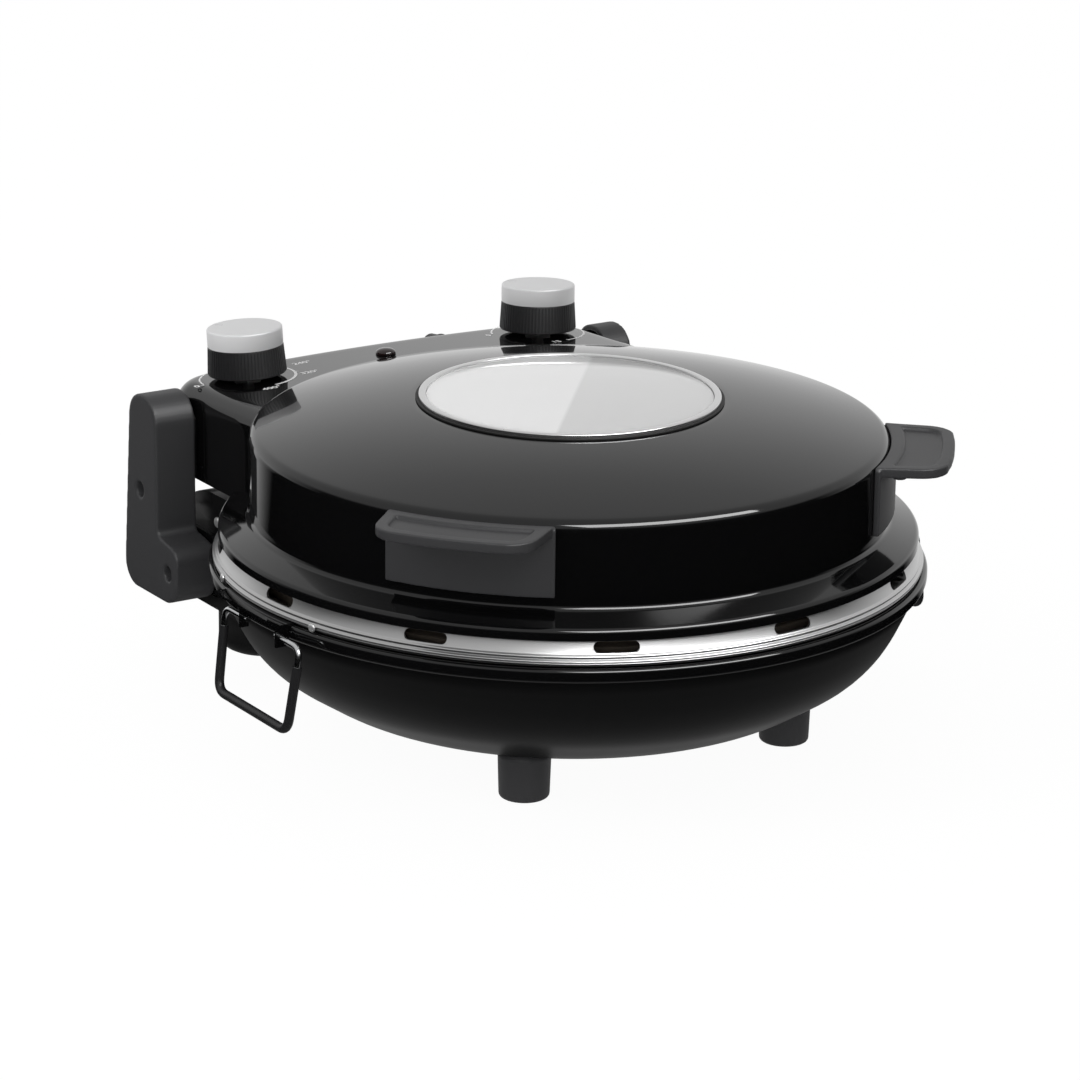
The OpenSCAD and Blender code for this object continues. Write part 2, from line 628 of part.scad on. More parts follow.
module lid_shell() color("#0b0b0c") placed() difference() {
    union() {
        difference() {
            turned(concat(lid_path(), reversed(lid_inner)));
            box_solid(sheet_t, lip_bottom - 2);
        }
        difference() {
            box_solid(0, box_floor);
            box_solid(sheet_t, lip_bottom - 2);
            turned(concat([[0, dome_top - sheet_t]], lid_inner, [[0, lip_bottom]]));
        }
    }
    for (s = [-1, 1]) on_top(s) cylinder(h = 20, r = bush_r, center = true, $fn = FINE);
    at_lamp() cylinder(h = 12, r = lamp_d / 2 - 1.2, center = true, $fn = FINE);
    rod_y(gland_x, box_back - 8, box_back + 8, gland_z, gland_r);
    for (m = [0, 1], z = ear_holes) mirror([m, 0, 0])
        rod_x(box_half - 8, box_half + 4, ear_hole_y, z, 2);
    for (s = [-1, 1]) at_handle_screws(s) cylinder(h = 6, r = 2, center = true, $fn = FINE);
}

// Bright liner inside the lid; it closes the chamber towards the control box
function liner_path() = concat(
    [[inner_glass_r - 5, liner_top], [inner_glass_r + 6, liner_top]],
    [[liner_r - 7, dome_edge_z - liner_space - 2.5], [liner_r - 2, dome_edge_z - liner_space - 5],
     [liner_r, dome_edge_z - liner_space - 9], [liner_r, box_floor + 0.2],
     [band_top_r - 0.8, box_floor + 0.2]]);
upper_loop_z = liner_top - 30;
module lid_liner() color("#cfcfcc") placed() difference() {
    turned(sheet(liner_path(), -liner_t));
    for (s = [-1, 1]) rod_y(s * leg_x, liner_r - 8, liner_r + 6, upper_loop_z, heater_d / 2 + 1);
}
module upper_heater() color("#4a4744") placed()
    heater(upper_loop_r, upper_loop_z, liner_r + 12);
// Height of the liner's underside above the upper heater's loop
clip_top = (liner_top - (dome_edge_z - liner_space - 2.5))
    * (liner_r - 7 - upper_loop_r - 8) / (liner_r - 13 - inner_glass_r)
    + dome_edge_z - liner_space - 2.5 - liner_t - 0.2;
module upper_heater_clips() color("#a9a9a6") placed()
    for (a = [-30, 90, 210]) at_angle(a) translate([0, 0, clip_top]) mirror([0, 0, 1])
        heater_clip(upper_loop_r, clip_top - upper_loop_z - heater_d / 2);

// Window: gasket on the dome, ring through it, outer glass on a seal, inner glass on the liner
module window_gasket() color("#151515") placed()
    turned([[hole_r - 0.3, dome_top], [window_r + gasket_w, dome_top],
            [window_r + gasket_w, dome_top + gasket_t * 0.6],
            [window_r + gasket_w - 0.4, dome_top + gasket_t],
            [hole_r - 0.3, dome_top + gasket_t]]);
ring_seat = dome_top + gasket_t;
ring_foot = ring_seat - ring_neck;
module window_ring() color("#8f9193") placed()
    turned([[glass_r - 3, ring_foot], [hole_r - 0.4, ring_foot], [hole_r - 0.4, ring_seat],
            [window_r, ring_seat], [window_r, ring_seat + ring_top_t - 0.6],
            [window_r - 0.6, ring_seat + ring_top_t], [glass_r + 0.6, ring_seat + ring_top_t],
            [glass_r + 0.1, ring_seat + ring_top_t - 0.6], [glass_r + 0.1, ring_foot + 1],
            [glass_r - 3, ring_foot + 1]]);
module glass_seal() color("#3a3a3a") placed()
    turned([[glass_r - 2.6, ring_foot + 1], [glass_r, ring_foot + 1],
            [glass_r, ring_seat + ring_top_t - 1 - outer_glass_t],
            [glass_r - 2.6, ring_seat + ring_top_t - 1 - outer_glass_t]]);
module outer_glass() color("#dfe6e6", 0.5) placed()
    translate([0, 0, ring_seat + ring_top_t - 1 - outer_glass_t])
        cylinder(h = outer_glass_t, r = glass_r, $fn = ROUND);
module inner_glass() color("#dfe6e6", 0.5) placed()
    translate([0, 0, liner_top]) cylinder(h = inner_glass_t, r = inner_glass_r, $fn = ROUND);
module glass_retainer() color("#bcbcb9") placed()
    turned(sheet([[inner_glass_r + 5.5, liner_top], [inner_glass_r + 0.5, liner_top],
                  [inner_glass_r + 0.5, liner_top + inner_glass_t],
                  [inner_glass_r - 3, liner_top + inner_glass_t]], -0.8));

// Plate that closes the control box from below, and the shield in front of the chamber
module box_floor_plate() color("#777a7c") placed() difference() {
    translate([0, 0, box_floor + 0.2]) linear_extrude(sheet_t) polygon(box_plan(sheet_t + 0.1));
    cylinder(h = 90, r = liner_r + 2.5, center = true, $fn = ROUND);
    cylinder(h = 2 * (box_floor + 0.5 + sheet_t), r = liner_r + 2.5, center = true, $fn = ROUND);
}
shield_r = liner_r + 3.2;
module heat_shield() color("#a3a5a6") placed() difference() {
    intersection() {
        difference() {
            translate([0, 0, box_floor + 0.2 + sheet_t])
                cylinder(h = wall_top - 12 - box_floor, r = shield_r + 0.8, $fn = ROUND);
            cylinder(h = 100, r = shield_r, $fn = ROUND);
        }
        translate([-box_half + 6, 0, 0]) cube([box_w - 12, 200, 100]);
    }
    for (s = [-1, 1])
        rod_y(s * leg_x, shield_r - 8, shield_r + 8, upper_loop_z, heater_d / 2 + 1);
}

// Steel ears on the box's ends: they carry the lid on the hinge pins
ear_holes = [box_floor + 11, box_floor + 25];
ear_hole_y = hinge_y - 2.5;
ear_r = 8.5;
function ear_side() = concat(
    [[hinge_y - ear_r, hinge_z]],
    arc([hinge_y, hinge_z], ear_r, 180, 360, 14),
    [[hinge_y + ear_r, box_floor + 30], [hinge_y + ear_r - 3, box_floor + 33],
     [hinge_y - ear_r + 3, box_floor + 33], [hinge_y - ear_r, box_floor + 30]]);
module lid_ear() difference() {
    across(box_half, ear_x, ear_side());
    rod_x(box_half - 1, ear_x + 1, hinge_y, hinge_z, pin_d / 2 + run_fit);
    for (z = ear_holes) {
        rod_x(box_half - 1, ear_x + 1, ear_hole_y, z, 2);
        translate([ear_x - 1.8, ear_hole_y, z]) rotate([0, 90, 0])
            cylinder(h = 1.81, r1 = 2, r2 = 3.8, $fn = FINE);
    }
}
module left_lid_ear() color("#6f7173") placed() mirror([1, 0, 0]) lid_ear();
module right_lid_ear() color("#6f7173") placed() lid_ear();
module ear_screws() color("#8d8f91") placed() pair() for (z = ear_holes) {
    rod_x(box_half - 5, ear_x - 1.8, ear_hole_y, z, 1.9);
    translate([ear_x - 1.8, ear_hole_y, z]) rotate([0, 90, 0])
        cylinder(h = 1.75, r1 = 1.9, r2 = 3.6, $fn = FINE);
    translate([box_half - sheet_t - 3, ear_hole_y, z]) rotate([0, 90, 0])
        cylinder(h = 3, r = 3.6, $fn = 6);
}

// Controls: each switch hangs on its threaded bush, held by a nut on the box's top
shaft_low = -16;
module switch(side, body_r, body_h) on_top(side) difference() {
    union() {
        translate([0, 0, -sheet_t - 1.1 - body_h]) cylinder(h = body_h, r = body_r, $fn = FINE);
        translate([0, 0, -sheet_t - 1.2]) cylinder(h = 1.1, r = bush_r + 3, $fn = FINE);
        translate([0, 0, -sheet_t - 1.1]) cylinder(h = sheet_t + 3.3, r = bush_r - 0.05, $fn = FINE);
        for (x = [-9, 0, 9]) translate([x - 3, body_r - 6, -sheet_t - 1 - body_h - 6])
            cube([6, 0.8, 7]);
    }
    translate([0, 0, shaft_low - 0.5]) cylinder(h = 40, r = shaft_d / 2 + run_fit, $fn = FINE);
}
thermostat_r = 17;
timer_r = 21;
module thermostat() color("#c8c2b4") placed() switch(-1, thermostat_r, 24);
module timer() color("#8f9294") placed() switch(1, timer_r, 28);
module control_nuts() color("#b3b5b7") placed() for (s = [-1, 1]) on_top(s) difference() {
    translate([0, 0, 0.05]) cylinder(h = 2, r = bush_r + 2.6, $fn = 6);
    cylinder(h = 9, r = bush_r - 0.05, center = true, $fn = FINE);
}
module shaft(side) on_top(side)
    translate([0, 0, shaft_low]) cylinder(h = knob_gap + knob_h - 2 - shaft_low, d = shaft_d, $fn = FINE);
module temperature_shaft() color("#a8aaac") placed() shaft(-1);
module timer_shaft() color("#a8aaac") placed() shaft(1);

// Knob: a black skirt, hollow below over the nut, with a bright cap and a pointer groove
module knob(side) on_top(side) translate([0, 0, knob_gap]) difference() {
    cylinder(h = knob_h, d1 = knob_d + knob_flare, d2 = knob_d, $fn = ROUND);
    difference() {
        translate([0, 0, -1]) cylinder(h = knob_h - 2, r = knob_d / 2 - 2.2, $fn = FINE);
        cylinder(h = knob_h, r = shaft_d / 2 + 2.5, $fn = FINE);
    }
    translate([0, 0, -1]) cylinder(h = knob_h - 1, d = shaft_d, $fn = FINE);
}
module cap(side, turn) on_top(side) at_angle(turn) difference() {
    translate([0, 0, knob_gap + knob_h]) rotate_extrude($fn = ROUND) polygon(concat(
        [[0, 0], [knob_d / 2, 0]], arc([knob_d / 2 - 1, cap_h - 1], 1, 0, 90, 4), [[0, cap_h]]));
    translate([0, knob_d / 2 - 4, knob_gap + knob_h + cap_h]) cube([1.6, 5, 1], center = true);
}
module temperature_knob() color("#1d1d1e") placed() knob(-1);
module timer_knob() color("#1d1d1e") placed() knob(1);
pointer_turn = 32;
module temperature_cap() color("#b5b6b8") placed() cap(-1, pointer_turn);
module timer_cap() color("#b5b6b8") placed() cap(1, pointer_turn);

// Inside the box: terminals on the floor plate; the lamp and the gland in the box's walls
module terminal_block() color("#e4e0d4") placed() difference() {
    translate([-23, box_back - 42, box_floor + 0.2 + sheet_t]) cube([46, 18, 14]);
    for (i = [-2 : 2]) translate([i * 9, box_back - 33, box_floor + 16])
        cylinder(h = 12, r = 2.4, center = true, $fn = FINE);
}
lamp_z = crown_top + (knob_y - lamp_y) * tan(box_tilt);
module at_lamp() translate([lamp_x, lamp_y, lamp_z + 0.03]) rotate([-box_tilt, 0, 0]) children();
module pilot_lamp() color("#1a1a1b") placed() at_lamp() {
    rotate_extrude($fn = FINE) polygon(concat(
        [[0, -16], [lamp_d / 2 - 1.25, -16], [lamp_d / 2 - 1.25, 0], [lamp_d / 2, 0]],
        [for (a = [0 : 15 : 75]) [lamp_d / 2 * cos(a), 0.8 + 2.4 * sin(a)]], [[0, 3.2]]));
}
module cord_gland() color("#161617") placed() difference() {
    union() {
        rod_y(gland_x, box_back - sheet_t - 3, box_back, gland_z, gland_r - 0.05);
        rod_y(gland_x, box_back, box_back + 1.6, gland_z, gland_r + 2);
        translate([gland_x, box_back + 1.6, gland_z]) rotate([-90, 0, 0])
            cylinder(h = gland_out - 1.6, r1 = gland_r + 1.2, r2 = gland_r, $fn = FINE);
    }
    rod_y(gland_x, box_back - 10, box_back + 20, gland_z, 3.6);
}

// Handles: a curved wall plate with a dished shelf, held by two screws from inside the lid
handle_top = wall_top + 3.4;
handle_hole_z = handle_top - handle_plate_h + 10;
module at_handle_screws(side) for (t = [-1, 1])
    at_angle(side * handle_angle + t * half_turn / 2) translate([0, -wall_r, handle_hole_z])
        rotate([90, 0, 0]) children();
half_turn = asin(handle_w / 2 / wall_r);
function shelf_plan(e, near) =
    let (half = handle_w / 2 - e, r = 14 - e, far = handle_reach - e, cx = half - 1.8 - r,
         cy = -far + 1.6 + r)
    concat([[-half, near], [half, near]], arc([cx, cy], r, -4, -78, 8),
           [for (i = [1 : 5]) let (x = cx * (3 - i) / 3) [x, -far + 1.4 * pow(x / cx, 2)]],
           arc([-cx, cy], r, -102, -176, 8));
dish_in = 6;
module handle(side) at_angle(side * handle_angle) difference() {
    union() {
        translate([0, 0, handle_top - handle_plate_h]) at_angle(-90 - half_turn)
            rotate_extrude(angle = 2 * half_turn, $fn = ROUND)
                translate([wall_r - 1, 0]) square([handle_plate_t + 1, handle_plate_h - 1.2]);
        translate([0, -wall_r, handle_top - shelf_t])
            linear_extrude(shelf_t) polygon(shelf_plan(0, 12));
        for (s = [-1, 1]) translate([s * handle_w / 3.4, -wall_r - handle_plate_t - 3,
                                     handle_top - shelf_t - 4.5])
            cylinder(h = 5, r = 3.4, $fn = FINE);
    }
    translate([0, 0, handle_top - handle_plate_h - 1])
        cylinder(h = handle_plate_h + 2, r = wall_r, $fn = ROUND);
    difference() {
        translate([0, -wall_r, handle_top - dish_depth])
            linear_extrude(9) polygon(shelf_plan(dish_in, 12));
        cylinder(h = 200, r = wall_r + dish_in + 1, center = true, $fn = ROUND);
    }
    at_handle_screws(0) translate([0, 0, -2]) cylinder(h = 4.2, r = 1.7, $fn = FINE);
}
module left_handle() color("#343435") placed() handle(-1);
module right_handle() color("#343435") placed() handle(1);
module handle_screws() color("#8d8f91") placed() for (s = [-1, 1]) at_handle_screws(s) {
    translate([0, 0, -sheet_t - 2.05]) cylinder(h = 2, r = 3.4, $fn = FINE);
    translate([0, 0, -sheet_t - 0.1]) cylinder(h = sheet_t + 2.2, r = 1.65, $fn = FINE);
}

// Bail: bare wire with hooks that enter the bracket's cheeks, black sleeve on legs and bar.
// A bent rod follows a path in its own X-Y plane, with an elbow at each inner point.
sleeve_r = wire_d / 2 + sleeve_t;
function trim(p, i, bend) = (i == 0 || i == len(p) - 1) ? 0 :
    let (u = unit(p[i] - p[i - 1]), v = unit(p[i + 1] - p[i]))
    bend[i] * tan(acos(u * v) / 2);
module rod_section(ro, ri) difference() {
    circle(r = ro, $fn = FINE);
    if (ri > 0) circle(r = ri, $fn = FINE);
}
module bent_rod(p, bend, ro, ri) {
    for (i = [0 : len(p) - 2]) {
        u = unit(p[i + 1] - p[i]);
        lead_in = i == 0 ? 0 : bite;
        lead_out = i == len(p) - 2 ? 0 : bite;
        from = p[i] + u * (trim(p, i, bend) - lead_in);
        length = norm(p[i + 1] - p[i]) - trim(p, i, bend) - trim(p, i + 1, bend)
            + lead_in + lead_out;
        translate(from) rotate([0, 0, atan2(u[1], u[0])]) rotate([0, 90, 0])
            linear_extrude(length) rod_section(ro - step, ri > 0 ? ri + step : 0);
    }
    for (i = [1 : len(p) - 2]) {
        u = unit(p[i] - p[i - 1]);
        v = unit(p[i + 1] - p[i]);
        w = u[0] * v[1] - u[1] * v[0] > 0 ? 1 : -1;
        from = p[i] - u * trim(p, i, bend);
        centre = from + bend[i] * w * [-u[1], u[0]];
        a0 = atan2((from - centre)[1], (from - centre)[0]);
        turn = acos(u * v);
        translate(centre) rotate([0, 0, w > 0 ? a0 : a0 - turn])
            rotate_extrude(angle = turn, $fn = ROUND) translate([bend[i], 0]) rod_section(ro, ri);
    }
}
hook_end = [cheek_half - cheek_t - 3, 0];
hook_corner = [bail_w / 2, 0];
bar_corner = [bail_low_w / 2, -bail_l];
sleeve_from = hook_corner + unit(bar_corner - hook_corner) * 9;
function mirrored(v) = [-v[0], v[1]];
module in_bail() translate([bail_x, -bail_front, bail_z]) rotate([0, -bail_lean, 0])
    rotate([90, 0, 90]) children();
module bail_wire() in_bail() bent_rod(
    [hook_end, hook_corner, bar_corner, mirrored(bar_corner), mirrored(hook_corner),
     mirrored(hook_end)], [0, 6, 7, 7, 6, 0], wire_d / 2, 0);
module bail_sleeve() in_bail() bent_rod(
    [sleeve_from, bar_corner, mirrored(bar_corner), mirrored(sleeve_from)],
    [0, 7, 7, 0], sleeve_r, wire_d / 2 + 0.1);
module left_bail_wire() color("#b7b9bb") placed() mirror([1, 0, 0]) bail_wire();
module left_bail_sleeve() color("#191919") placed() mirror([1, 0, 0]) bail_sleeve();
module right_bail_wire() color("#b7b9bb") placed() bail_wire();
module right_bail_sleeve() color("#191919") placed() bail_sleeve();

base_shell();
rolled_rim();
slotted_band();
inner_pan();
lower_heater();
lower_heater_clips();
baking_stone();
feet();
foot_screws();
left_hinge_bracket();
right_hinge_bracket();
hinge_pins();
left_hinge_arm();
right_hinge_arm();
arm_screws();
base_rivets();
left_bail_bracket();
right_bail_bracket();
lid_shell();
lid_liner();
upper_heater();
upper_heater_clips();
window_gasket();
window_ring();
outer_glass();
glass_seal();
inner_glass();
glass_retainer();
box_floor_plate();
heat_shield();
left_lid_ear();
right_lid_ear();
ear_screws();
thermostat();
timer();
control_nuts();
terminal_block();
pilot_lamp();
cord_gland();
left_handle();
right_handle();
handle_screws();
temperature_shaft();
temperature_knob();
temperature_cap();
timer_shaft();
timer_knob();
timer_cap();
left_bail_wire();
left_bail_sleeve();
right_bail_wire();
right_bail_sleeve();
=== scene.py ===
# Countertop electric pizza maker: the looks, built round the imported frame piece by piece.
import math

import bmesh
import bpy
from mathutils import Matrix, Vector


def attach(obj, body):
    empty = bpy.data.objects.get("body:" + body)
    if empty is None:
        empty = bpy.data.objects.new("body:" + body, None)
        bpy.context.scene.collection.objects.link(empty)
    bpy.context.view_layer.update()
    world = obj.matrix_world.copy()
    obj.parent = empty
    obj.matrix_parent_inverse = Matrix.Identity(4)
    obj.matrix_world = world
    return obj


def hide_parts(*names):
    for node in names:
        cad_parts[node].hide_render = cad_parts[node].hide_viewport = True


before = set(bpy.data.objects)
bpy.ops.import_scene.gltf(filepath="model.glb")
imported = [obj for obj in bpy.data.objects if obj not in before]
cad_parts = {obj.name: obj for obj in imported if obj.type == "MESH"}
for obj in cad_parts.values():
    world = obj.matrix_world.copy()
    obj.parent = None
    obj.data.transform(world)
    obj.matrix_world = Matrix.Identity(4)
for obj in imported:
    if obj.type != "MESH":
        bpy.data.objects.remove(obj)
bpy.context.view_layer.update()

# Camera. It stands low in front and to the left of the machine, far away, so that the upright
# lines stay nearly parallel.
CAMERA_PLACE = (-1.1520, -1.7891, 0.76505)
CAMERA_AZIMUTH, CAMERA_PITCH, CAMERA_ROLL = -32.63, 17.63, 0.69
azimuth, pitch = math.radians(CAMERA_AZIMUTH), math.radians(CAMERA_PITCH)
looking_back = Vector((math.sin(azimuth) * math.cos(pitch), -math.cos(azimuth) * math.cos(pitch), math.sin(pitch)))
camera = bpy.data.objects.new("camera", bpy.data.cameras.new("camera"))
camera.data.lens, camera.data.sensor_width = 150, 36
camera.data.clip_start, camera.data.clip_end = 0.05, 40
camera.location = CAMERA_PLACE
camera.rotation_mode = "QUATERNION"
camera.rotation_quaternion = ((-looking_back).to_track_quat("-Z", "Y")
                              @ Matrix.Rotation(math.radians(CAMERA_ROLL), 3, "Z").to_quaternion())
bpy.context.scene.collection.objects.link(camera)
bpy.context.scene.camera = camera
bpy.context.scene.view_settings.view_transform = "Standard"

# Studio. The room behind the machine and above it is white, and glossy faces show that white. In
# front and low down it is dark, which keeps upright black walls black. Matt faces get an even light.
world = bpy.data.worlds.new("studio")
bpy.context.scene.world = world
world.use_nodes = True
world.node_tree.nodes.clear()


def node(tree, kind, **inputs):
    made = tree.nodes.new(kind)
    for key, value in inputs.items():
        if key in made.bl_rna.properties:
            setattr(made, key, value)
        else:
            made.inputs[key.replace("_", " ")].default_value = value
    return made


def ramp_of(tree, source, stops):
    """A colour ramp of grey levels fed by a socket."""
    made = node(tree, "ShaderNodeValToRGB")
    steps = made.color_ramp
    for i, (where, level) in enumerate(stops):
        step = steps.elements[i] if i < 2 else steps.elements.new(where)
        step.position, step.color = where, (level, level, level, 1)
    tree.links.new(source, made.inputs["Fac"])
    return made.outputs["Color"]


def backwards(tree, direction):
    """How far a direction points away from the camera's side: 0 towards it, 1 straight back."""
    share = node(tree, "ShaderNodeVectorMath", operation="DOT_PRODUCT")
    share.inputs[1].default_value = (-math.sin(azimuth) * 0.5, math.cos(azimuth) * 0.5, 0)
    tree.links.new(direction, share.inputs[0])
    half = node(tree, "ShaderNodeMath", operation="ADD")
    half.inputs[1].default_value = 0.5
    tree.links.new(share.outputs["Value"], half.inputs[0])
    return half.outputs[0]


def blend_shades(tree, share, first, second):
    made = node(tree, "ShaderNodeMixShader")
    for source, target in ((share, made.inputs["Fac"]), (first, made.inputs[1]), (second, made.inputs[2])):
        tree.links.new(source, target)
    return made.outputs[0]


def camera_or_glass(tree, strength=1.0):
    """1 for rays that come from the camera or through glass, times a strength."""
    path = node(tree, "ShaderNodeLightPath")
    seen = node(tree, "ShaderNodeMath", operation="MAXIMUM")
    tree.links.new(path.outputs["Is Camera Ray"], seen.inputs[0])
    tree.links.new(path.outputs["Is Transmission Ray"], seen.inputs[1])
    share = node(tree, "ShaderNodeMath", operation="MULTIPLY")
    share.inputs[1].default_value = strength
    tree.links.new(seen.outputs[0], share.inputs[0])
    return share.outputs[0], path.outputs["Is Glossy Ray"]


tree = world.node_tree
place = node(tree, "ShaderNodeTexCoord")
parts = node(tree, "ShaderNodeSeparateXYZ")
tree.links.new(place.outputs["Generated"], parts.inputs[0])
front = ramp_of(tree, parts.outputs["Z"], ((0.0, 0.01), (1.0, 0.62), (0.24, 0.02), (0.42, 0.62)))
rear = ramp_of(tree, parts.outputs["Z"], ((0.0, 0.88), (1.0, 0.62), (0.30, 0.80), (0.62, 0.62)))
turn = ramp_of(tree, backwards(tree, place.outputs["Generated"]), ((0.0, 0.0), (1.0, 1.0), (0.55, 0.0), (0.80, 1.0)))
levels = node(tree, "ShaderNodeMix", data_type="RGBA")
tree.links.new(turn, levels.inputs[0])
tree.links.new(front, levels.inputs[6])
tree.links.new(rear, levels.inputs[7])
room = node(tree, "ShaderNodeBackground", Strength=1.0)
tree.links.new(levels.outputs[2], room.inputs["Color"])
even = node(tree, "ShaderNodeBackground", Color=(1, 1, 1, 1), Strength=0.70)
white = node(tree, "ShaderNodeBackground", Color=(1, 1, 1, 1), Strength=1.0)
seen, mirrored = camera_or_glass(tree)
out = node(tree, "ShaderNodeOutputWorld")
tree.links.new(blend_shades(tree, seen, blend_shades(tree, mirrored, even.outputs[0], room.outputs[0]),
                            white.outputs[0]), out.inputs[0])


def lamp(name, at, towards, size, watts, glints=True, matt=True):
    made = bpy.data.objects.new(name, bpy.data.lights.new(name, "AREA"))
    made.data.shape, made.data.size, made.data.size_y = "RECTANGLE", size[0], size[1]
    made.data.energy = watts
    made.location = at
    made.rotation_mode = "QUATERNION"
    made.rotation_quaternion = (Vector(towards) - Vector(at)).to_track_quat("-Z", "Y")
    made.visible_diffuse, made.visible_glossy = matt, glints
    bpy.context.scene.collection.objects.link(made)
    return made


lamp("softbox_front", (0.22, -1.66, 1.85), (0, 0, 0.12), (2.6, 0.9), 80, matt=False)
lamp("softbox_left", (-1.9, 0.25, 1.5), (0, 0, 0.10), (0.9, 1.2), 12, glints=False)
lamp("fill", (-1.5, -1.9, 0.55), (0, 0, 0.10), (1.0, 0.6), 12, glints=False)

# Floor: a plain white table top. The camera sees it as white as the room, darkened only by the
# shadow that the machine throws on it.
floor_mesh = bpy.data.meshes.new("floor")
floor_mesh.from_pydata([(-9, -9, 0), (9, -9, 0), (9, 9, 0), (-9, 9, 0)], [], [(0, 1, 2, 3)])
floor = bpy.data.objects.new("floor", floor_mesh)
bpy.context.scene.collection.objects.link(floor)
paint = bpy.data.materials.new("table_white")
paint.use_nodes = True
tree = paint.node_tree
tree.nodes.clear()
matt = node(tree, "ShaderNodeBsdfDiffuse", Color=(0.80, 0.80, 0.80, 1))
glow = node(tree, "ShaderNodeEmission", Color=(1, 1, 1, 1), Strength=1.03)
place = node(tree, "ShaderNodeTexCoord")
reach = node(tree, "ShaderNodeVectorMath", operation="LENGTH")
tree.links.new(place.outputs["Object"], reach.inputs[0])
near = ramp_of(tree, reach.outputs["Value"], ((0.0, 0.45), (1.0, 0.0), (0.12, 0.40), (0.25, 0.0)))
facing = node(tree, "ShaderNodeVectorMath", operation="NORMALIZE")
tree.links.new(place.outputs["Object"], facing.inputs[0])
behind = ramp_of(tree, backwards(tree, facing.outputs[0]), ((0.0, 0.0), (1.0, 0.9), (0.72, 0.0), (0.90, 0.9)))
both = node(tree, "ShaderNodeMix", data_type="RGBA", blend_type="LIGHTEN")
both.inputs[0].default_value = 1.0
tree.links.new(near, both.inputs[6])
tree.links.new(behind, both.inputs[7])
sheen = node(tree, "ShaderNodeEmission", Strength=1.0)
tree.links.new(both.outputs[2], sheen.inputs["Color"])
seen, mirrored = camera_or_glass(tree, 0.93)
shades = blend_shades(tree, seen, blend_shades(tree, mirrored, matt.outputs[0], sheen.outputs[0]), glow.outputs[0])
ending = node(tree, "ShaderNodeOutputMaterial")
tree.links.new(shades, ending.inputs["Surface"])
floor_mesh.materials.append(paint)

# Bowl with its back housing and two drum-shaped wiring pods. It is deep-drawn sheet steel, outside
# with satin black stove paint whose fine texture breaks up the light.
AXIS_Y, RIM_Z = -15.5, 88.5


def group(name, inputs, outputs):
    made = bpy.data.node_groups.new(name, "ShaderNodeTree")
    for label, kind, value in inputs:
        made.interface.new_socket(name=label, in_out="INPUT", socket_type=kind).default_value = value
    for label, kind in outputs:
        made.interface.new_socket(name=label, in_out="OUTPUT", socket_type=kind)
    return made, node(made, "NodeGroupInput"), node(made, "NodeGroupOutput")


# fine random grain: a height for the bump and a slow cloud that shifts the roughness
grain, inside, outside = group(
    "surface_grain",
    [("Scale", "NodeSocketFloat", 900.0), ("Roughness", "NodeSocketFloat", 0.4),
     ("Cloud", "NodeSocketFloat", 0.08)],
    [("Height", "NodeSocketFloat"), ("Roughness", "NodeSocketFloat")])
at = node(grain, "ShaderNodeTexCoord")
fine = node(grain, "ShaderNodeTexNoise", Detail=3.0)
slow = node(grain, "ShaderNodeTexNoise", Scale=26.0, Detail=3.0)
for texture in (fine, slow):
    grain.links.new(at.outputs["Object"], texture.inputs["Vector"])
grain.links.new(inside.outputs["Scale"], fine.inputs["Scale"])
grain.links.new(fine.outputs["Fac"], outside.inputs["Height"])
centred = node(grain, "ShaderNodeMath", operation="SUBTRACT")
centred.inputs[1].default_value = 0.5
grain.links.new(slow.outputs["Fac"], centred.inputs[0])
spread = node(grain, "ShaderNodeMath", operation="MULTIPLY_ADD")
grain.links.new(centred.outputs[0], spread.inputs[0])
grain.links.new(inside.outputs["Cloud"], spread.inputs[1])
grain.links.new(inside.outputs["Roughness"], spread.inputs[2])
grain.links.new(spread.outputs[0], outside.inputs["Roughness"])


def finish(name, colour, roughness, grain_scale, bump, cloud=0.1, metal=0.0, specular=0.5, coat=0.0):
    """Principled finish with grain: bump is the grain's depth in millimetres."""
    made = bpy.data.materials.new(name)
    made.use_nodes = True
    tree = made.node_tree
    shader = tree.nodes["Principled BSDF"]
    shader.inputs["Base Color"].default_value = (*colour, 1)
    shader.inputs["Metallic"].default_value = metal
    shader.inputs["Specular IOR Level"].default_value = specular
    shader.inputs["Coat Weight"].default_value = coat
    effect = node(tree, "ShaderNodeGroup", node_tree=grain)
    effect.inputs["Scale"].default_value = grain_scale
    effect.inputs["Roughness"].default_value = roughness
    effect.inputs["Cloud"].default_value = cloud
    tree.links.new(effect.outputs["Roughness"], shader.inputs["Roughness"])
    relief = node(tree, "ShaderNodeBump", Strength=1.0, Distance=bump * 0.001)
    tree.links.new(effect.outputs["Height"], relief.inputs["Height"])
    tree.links.new(relief.outputs["Normal"], shader.inputs["Normal"])
    return made


def tint(made, low, high, scale):
    """Lets the base colour wander between two values with a soft cloud."""
    tree = made.node_tree
    at = node(tree, "ShaderNodeTexCoord")
    cloud = node(tree, "ShaderNodeTexNoise", Scale=scale, Detail=4.0)
    ramp = node(tree, "ShaderNodeValToRGB")
    ramp.color_ramp.elements[0].position, ramp.color_ramp.elements[0].color = 0.35, (*low, 1)
    ramp.color_ramp.elements[1].position, ramp.color_ramp.elements[1].color = 0.65, (*high, 1)
    tree.links.new(at.outputs["Object"], cloud.inputs["Vector"])
    tree.links.new(cloud.outputs["Fac"], ramp.inputs["Fac"])
    tree.links.new(ramp.outputs["Color"], tree.nodes["Principled BSDF"].inputs["Base Color"])
    return made


def made_object(name, mesh, material, body, slot, *replaced):
    piece = bpy.data.objects.new(name, mesh)
    bpy.context.scene.collection.objects.link(piece)
    mesh.materials.clear()
    mesh.materials.append(material)
    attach(piece, body)
    if replaced:
        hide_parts(*replaced)
    return piece


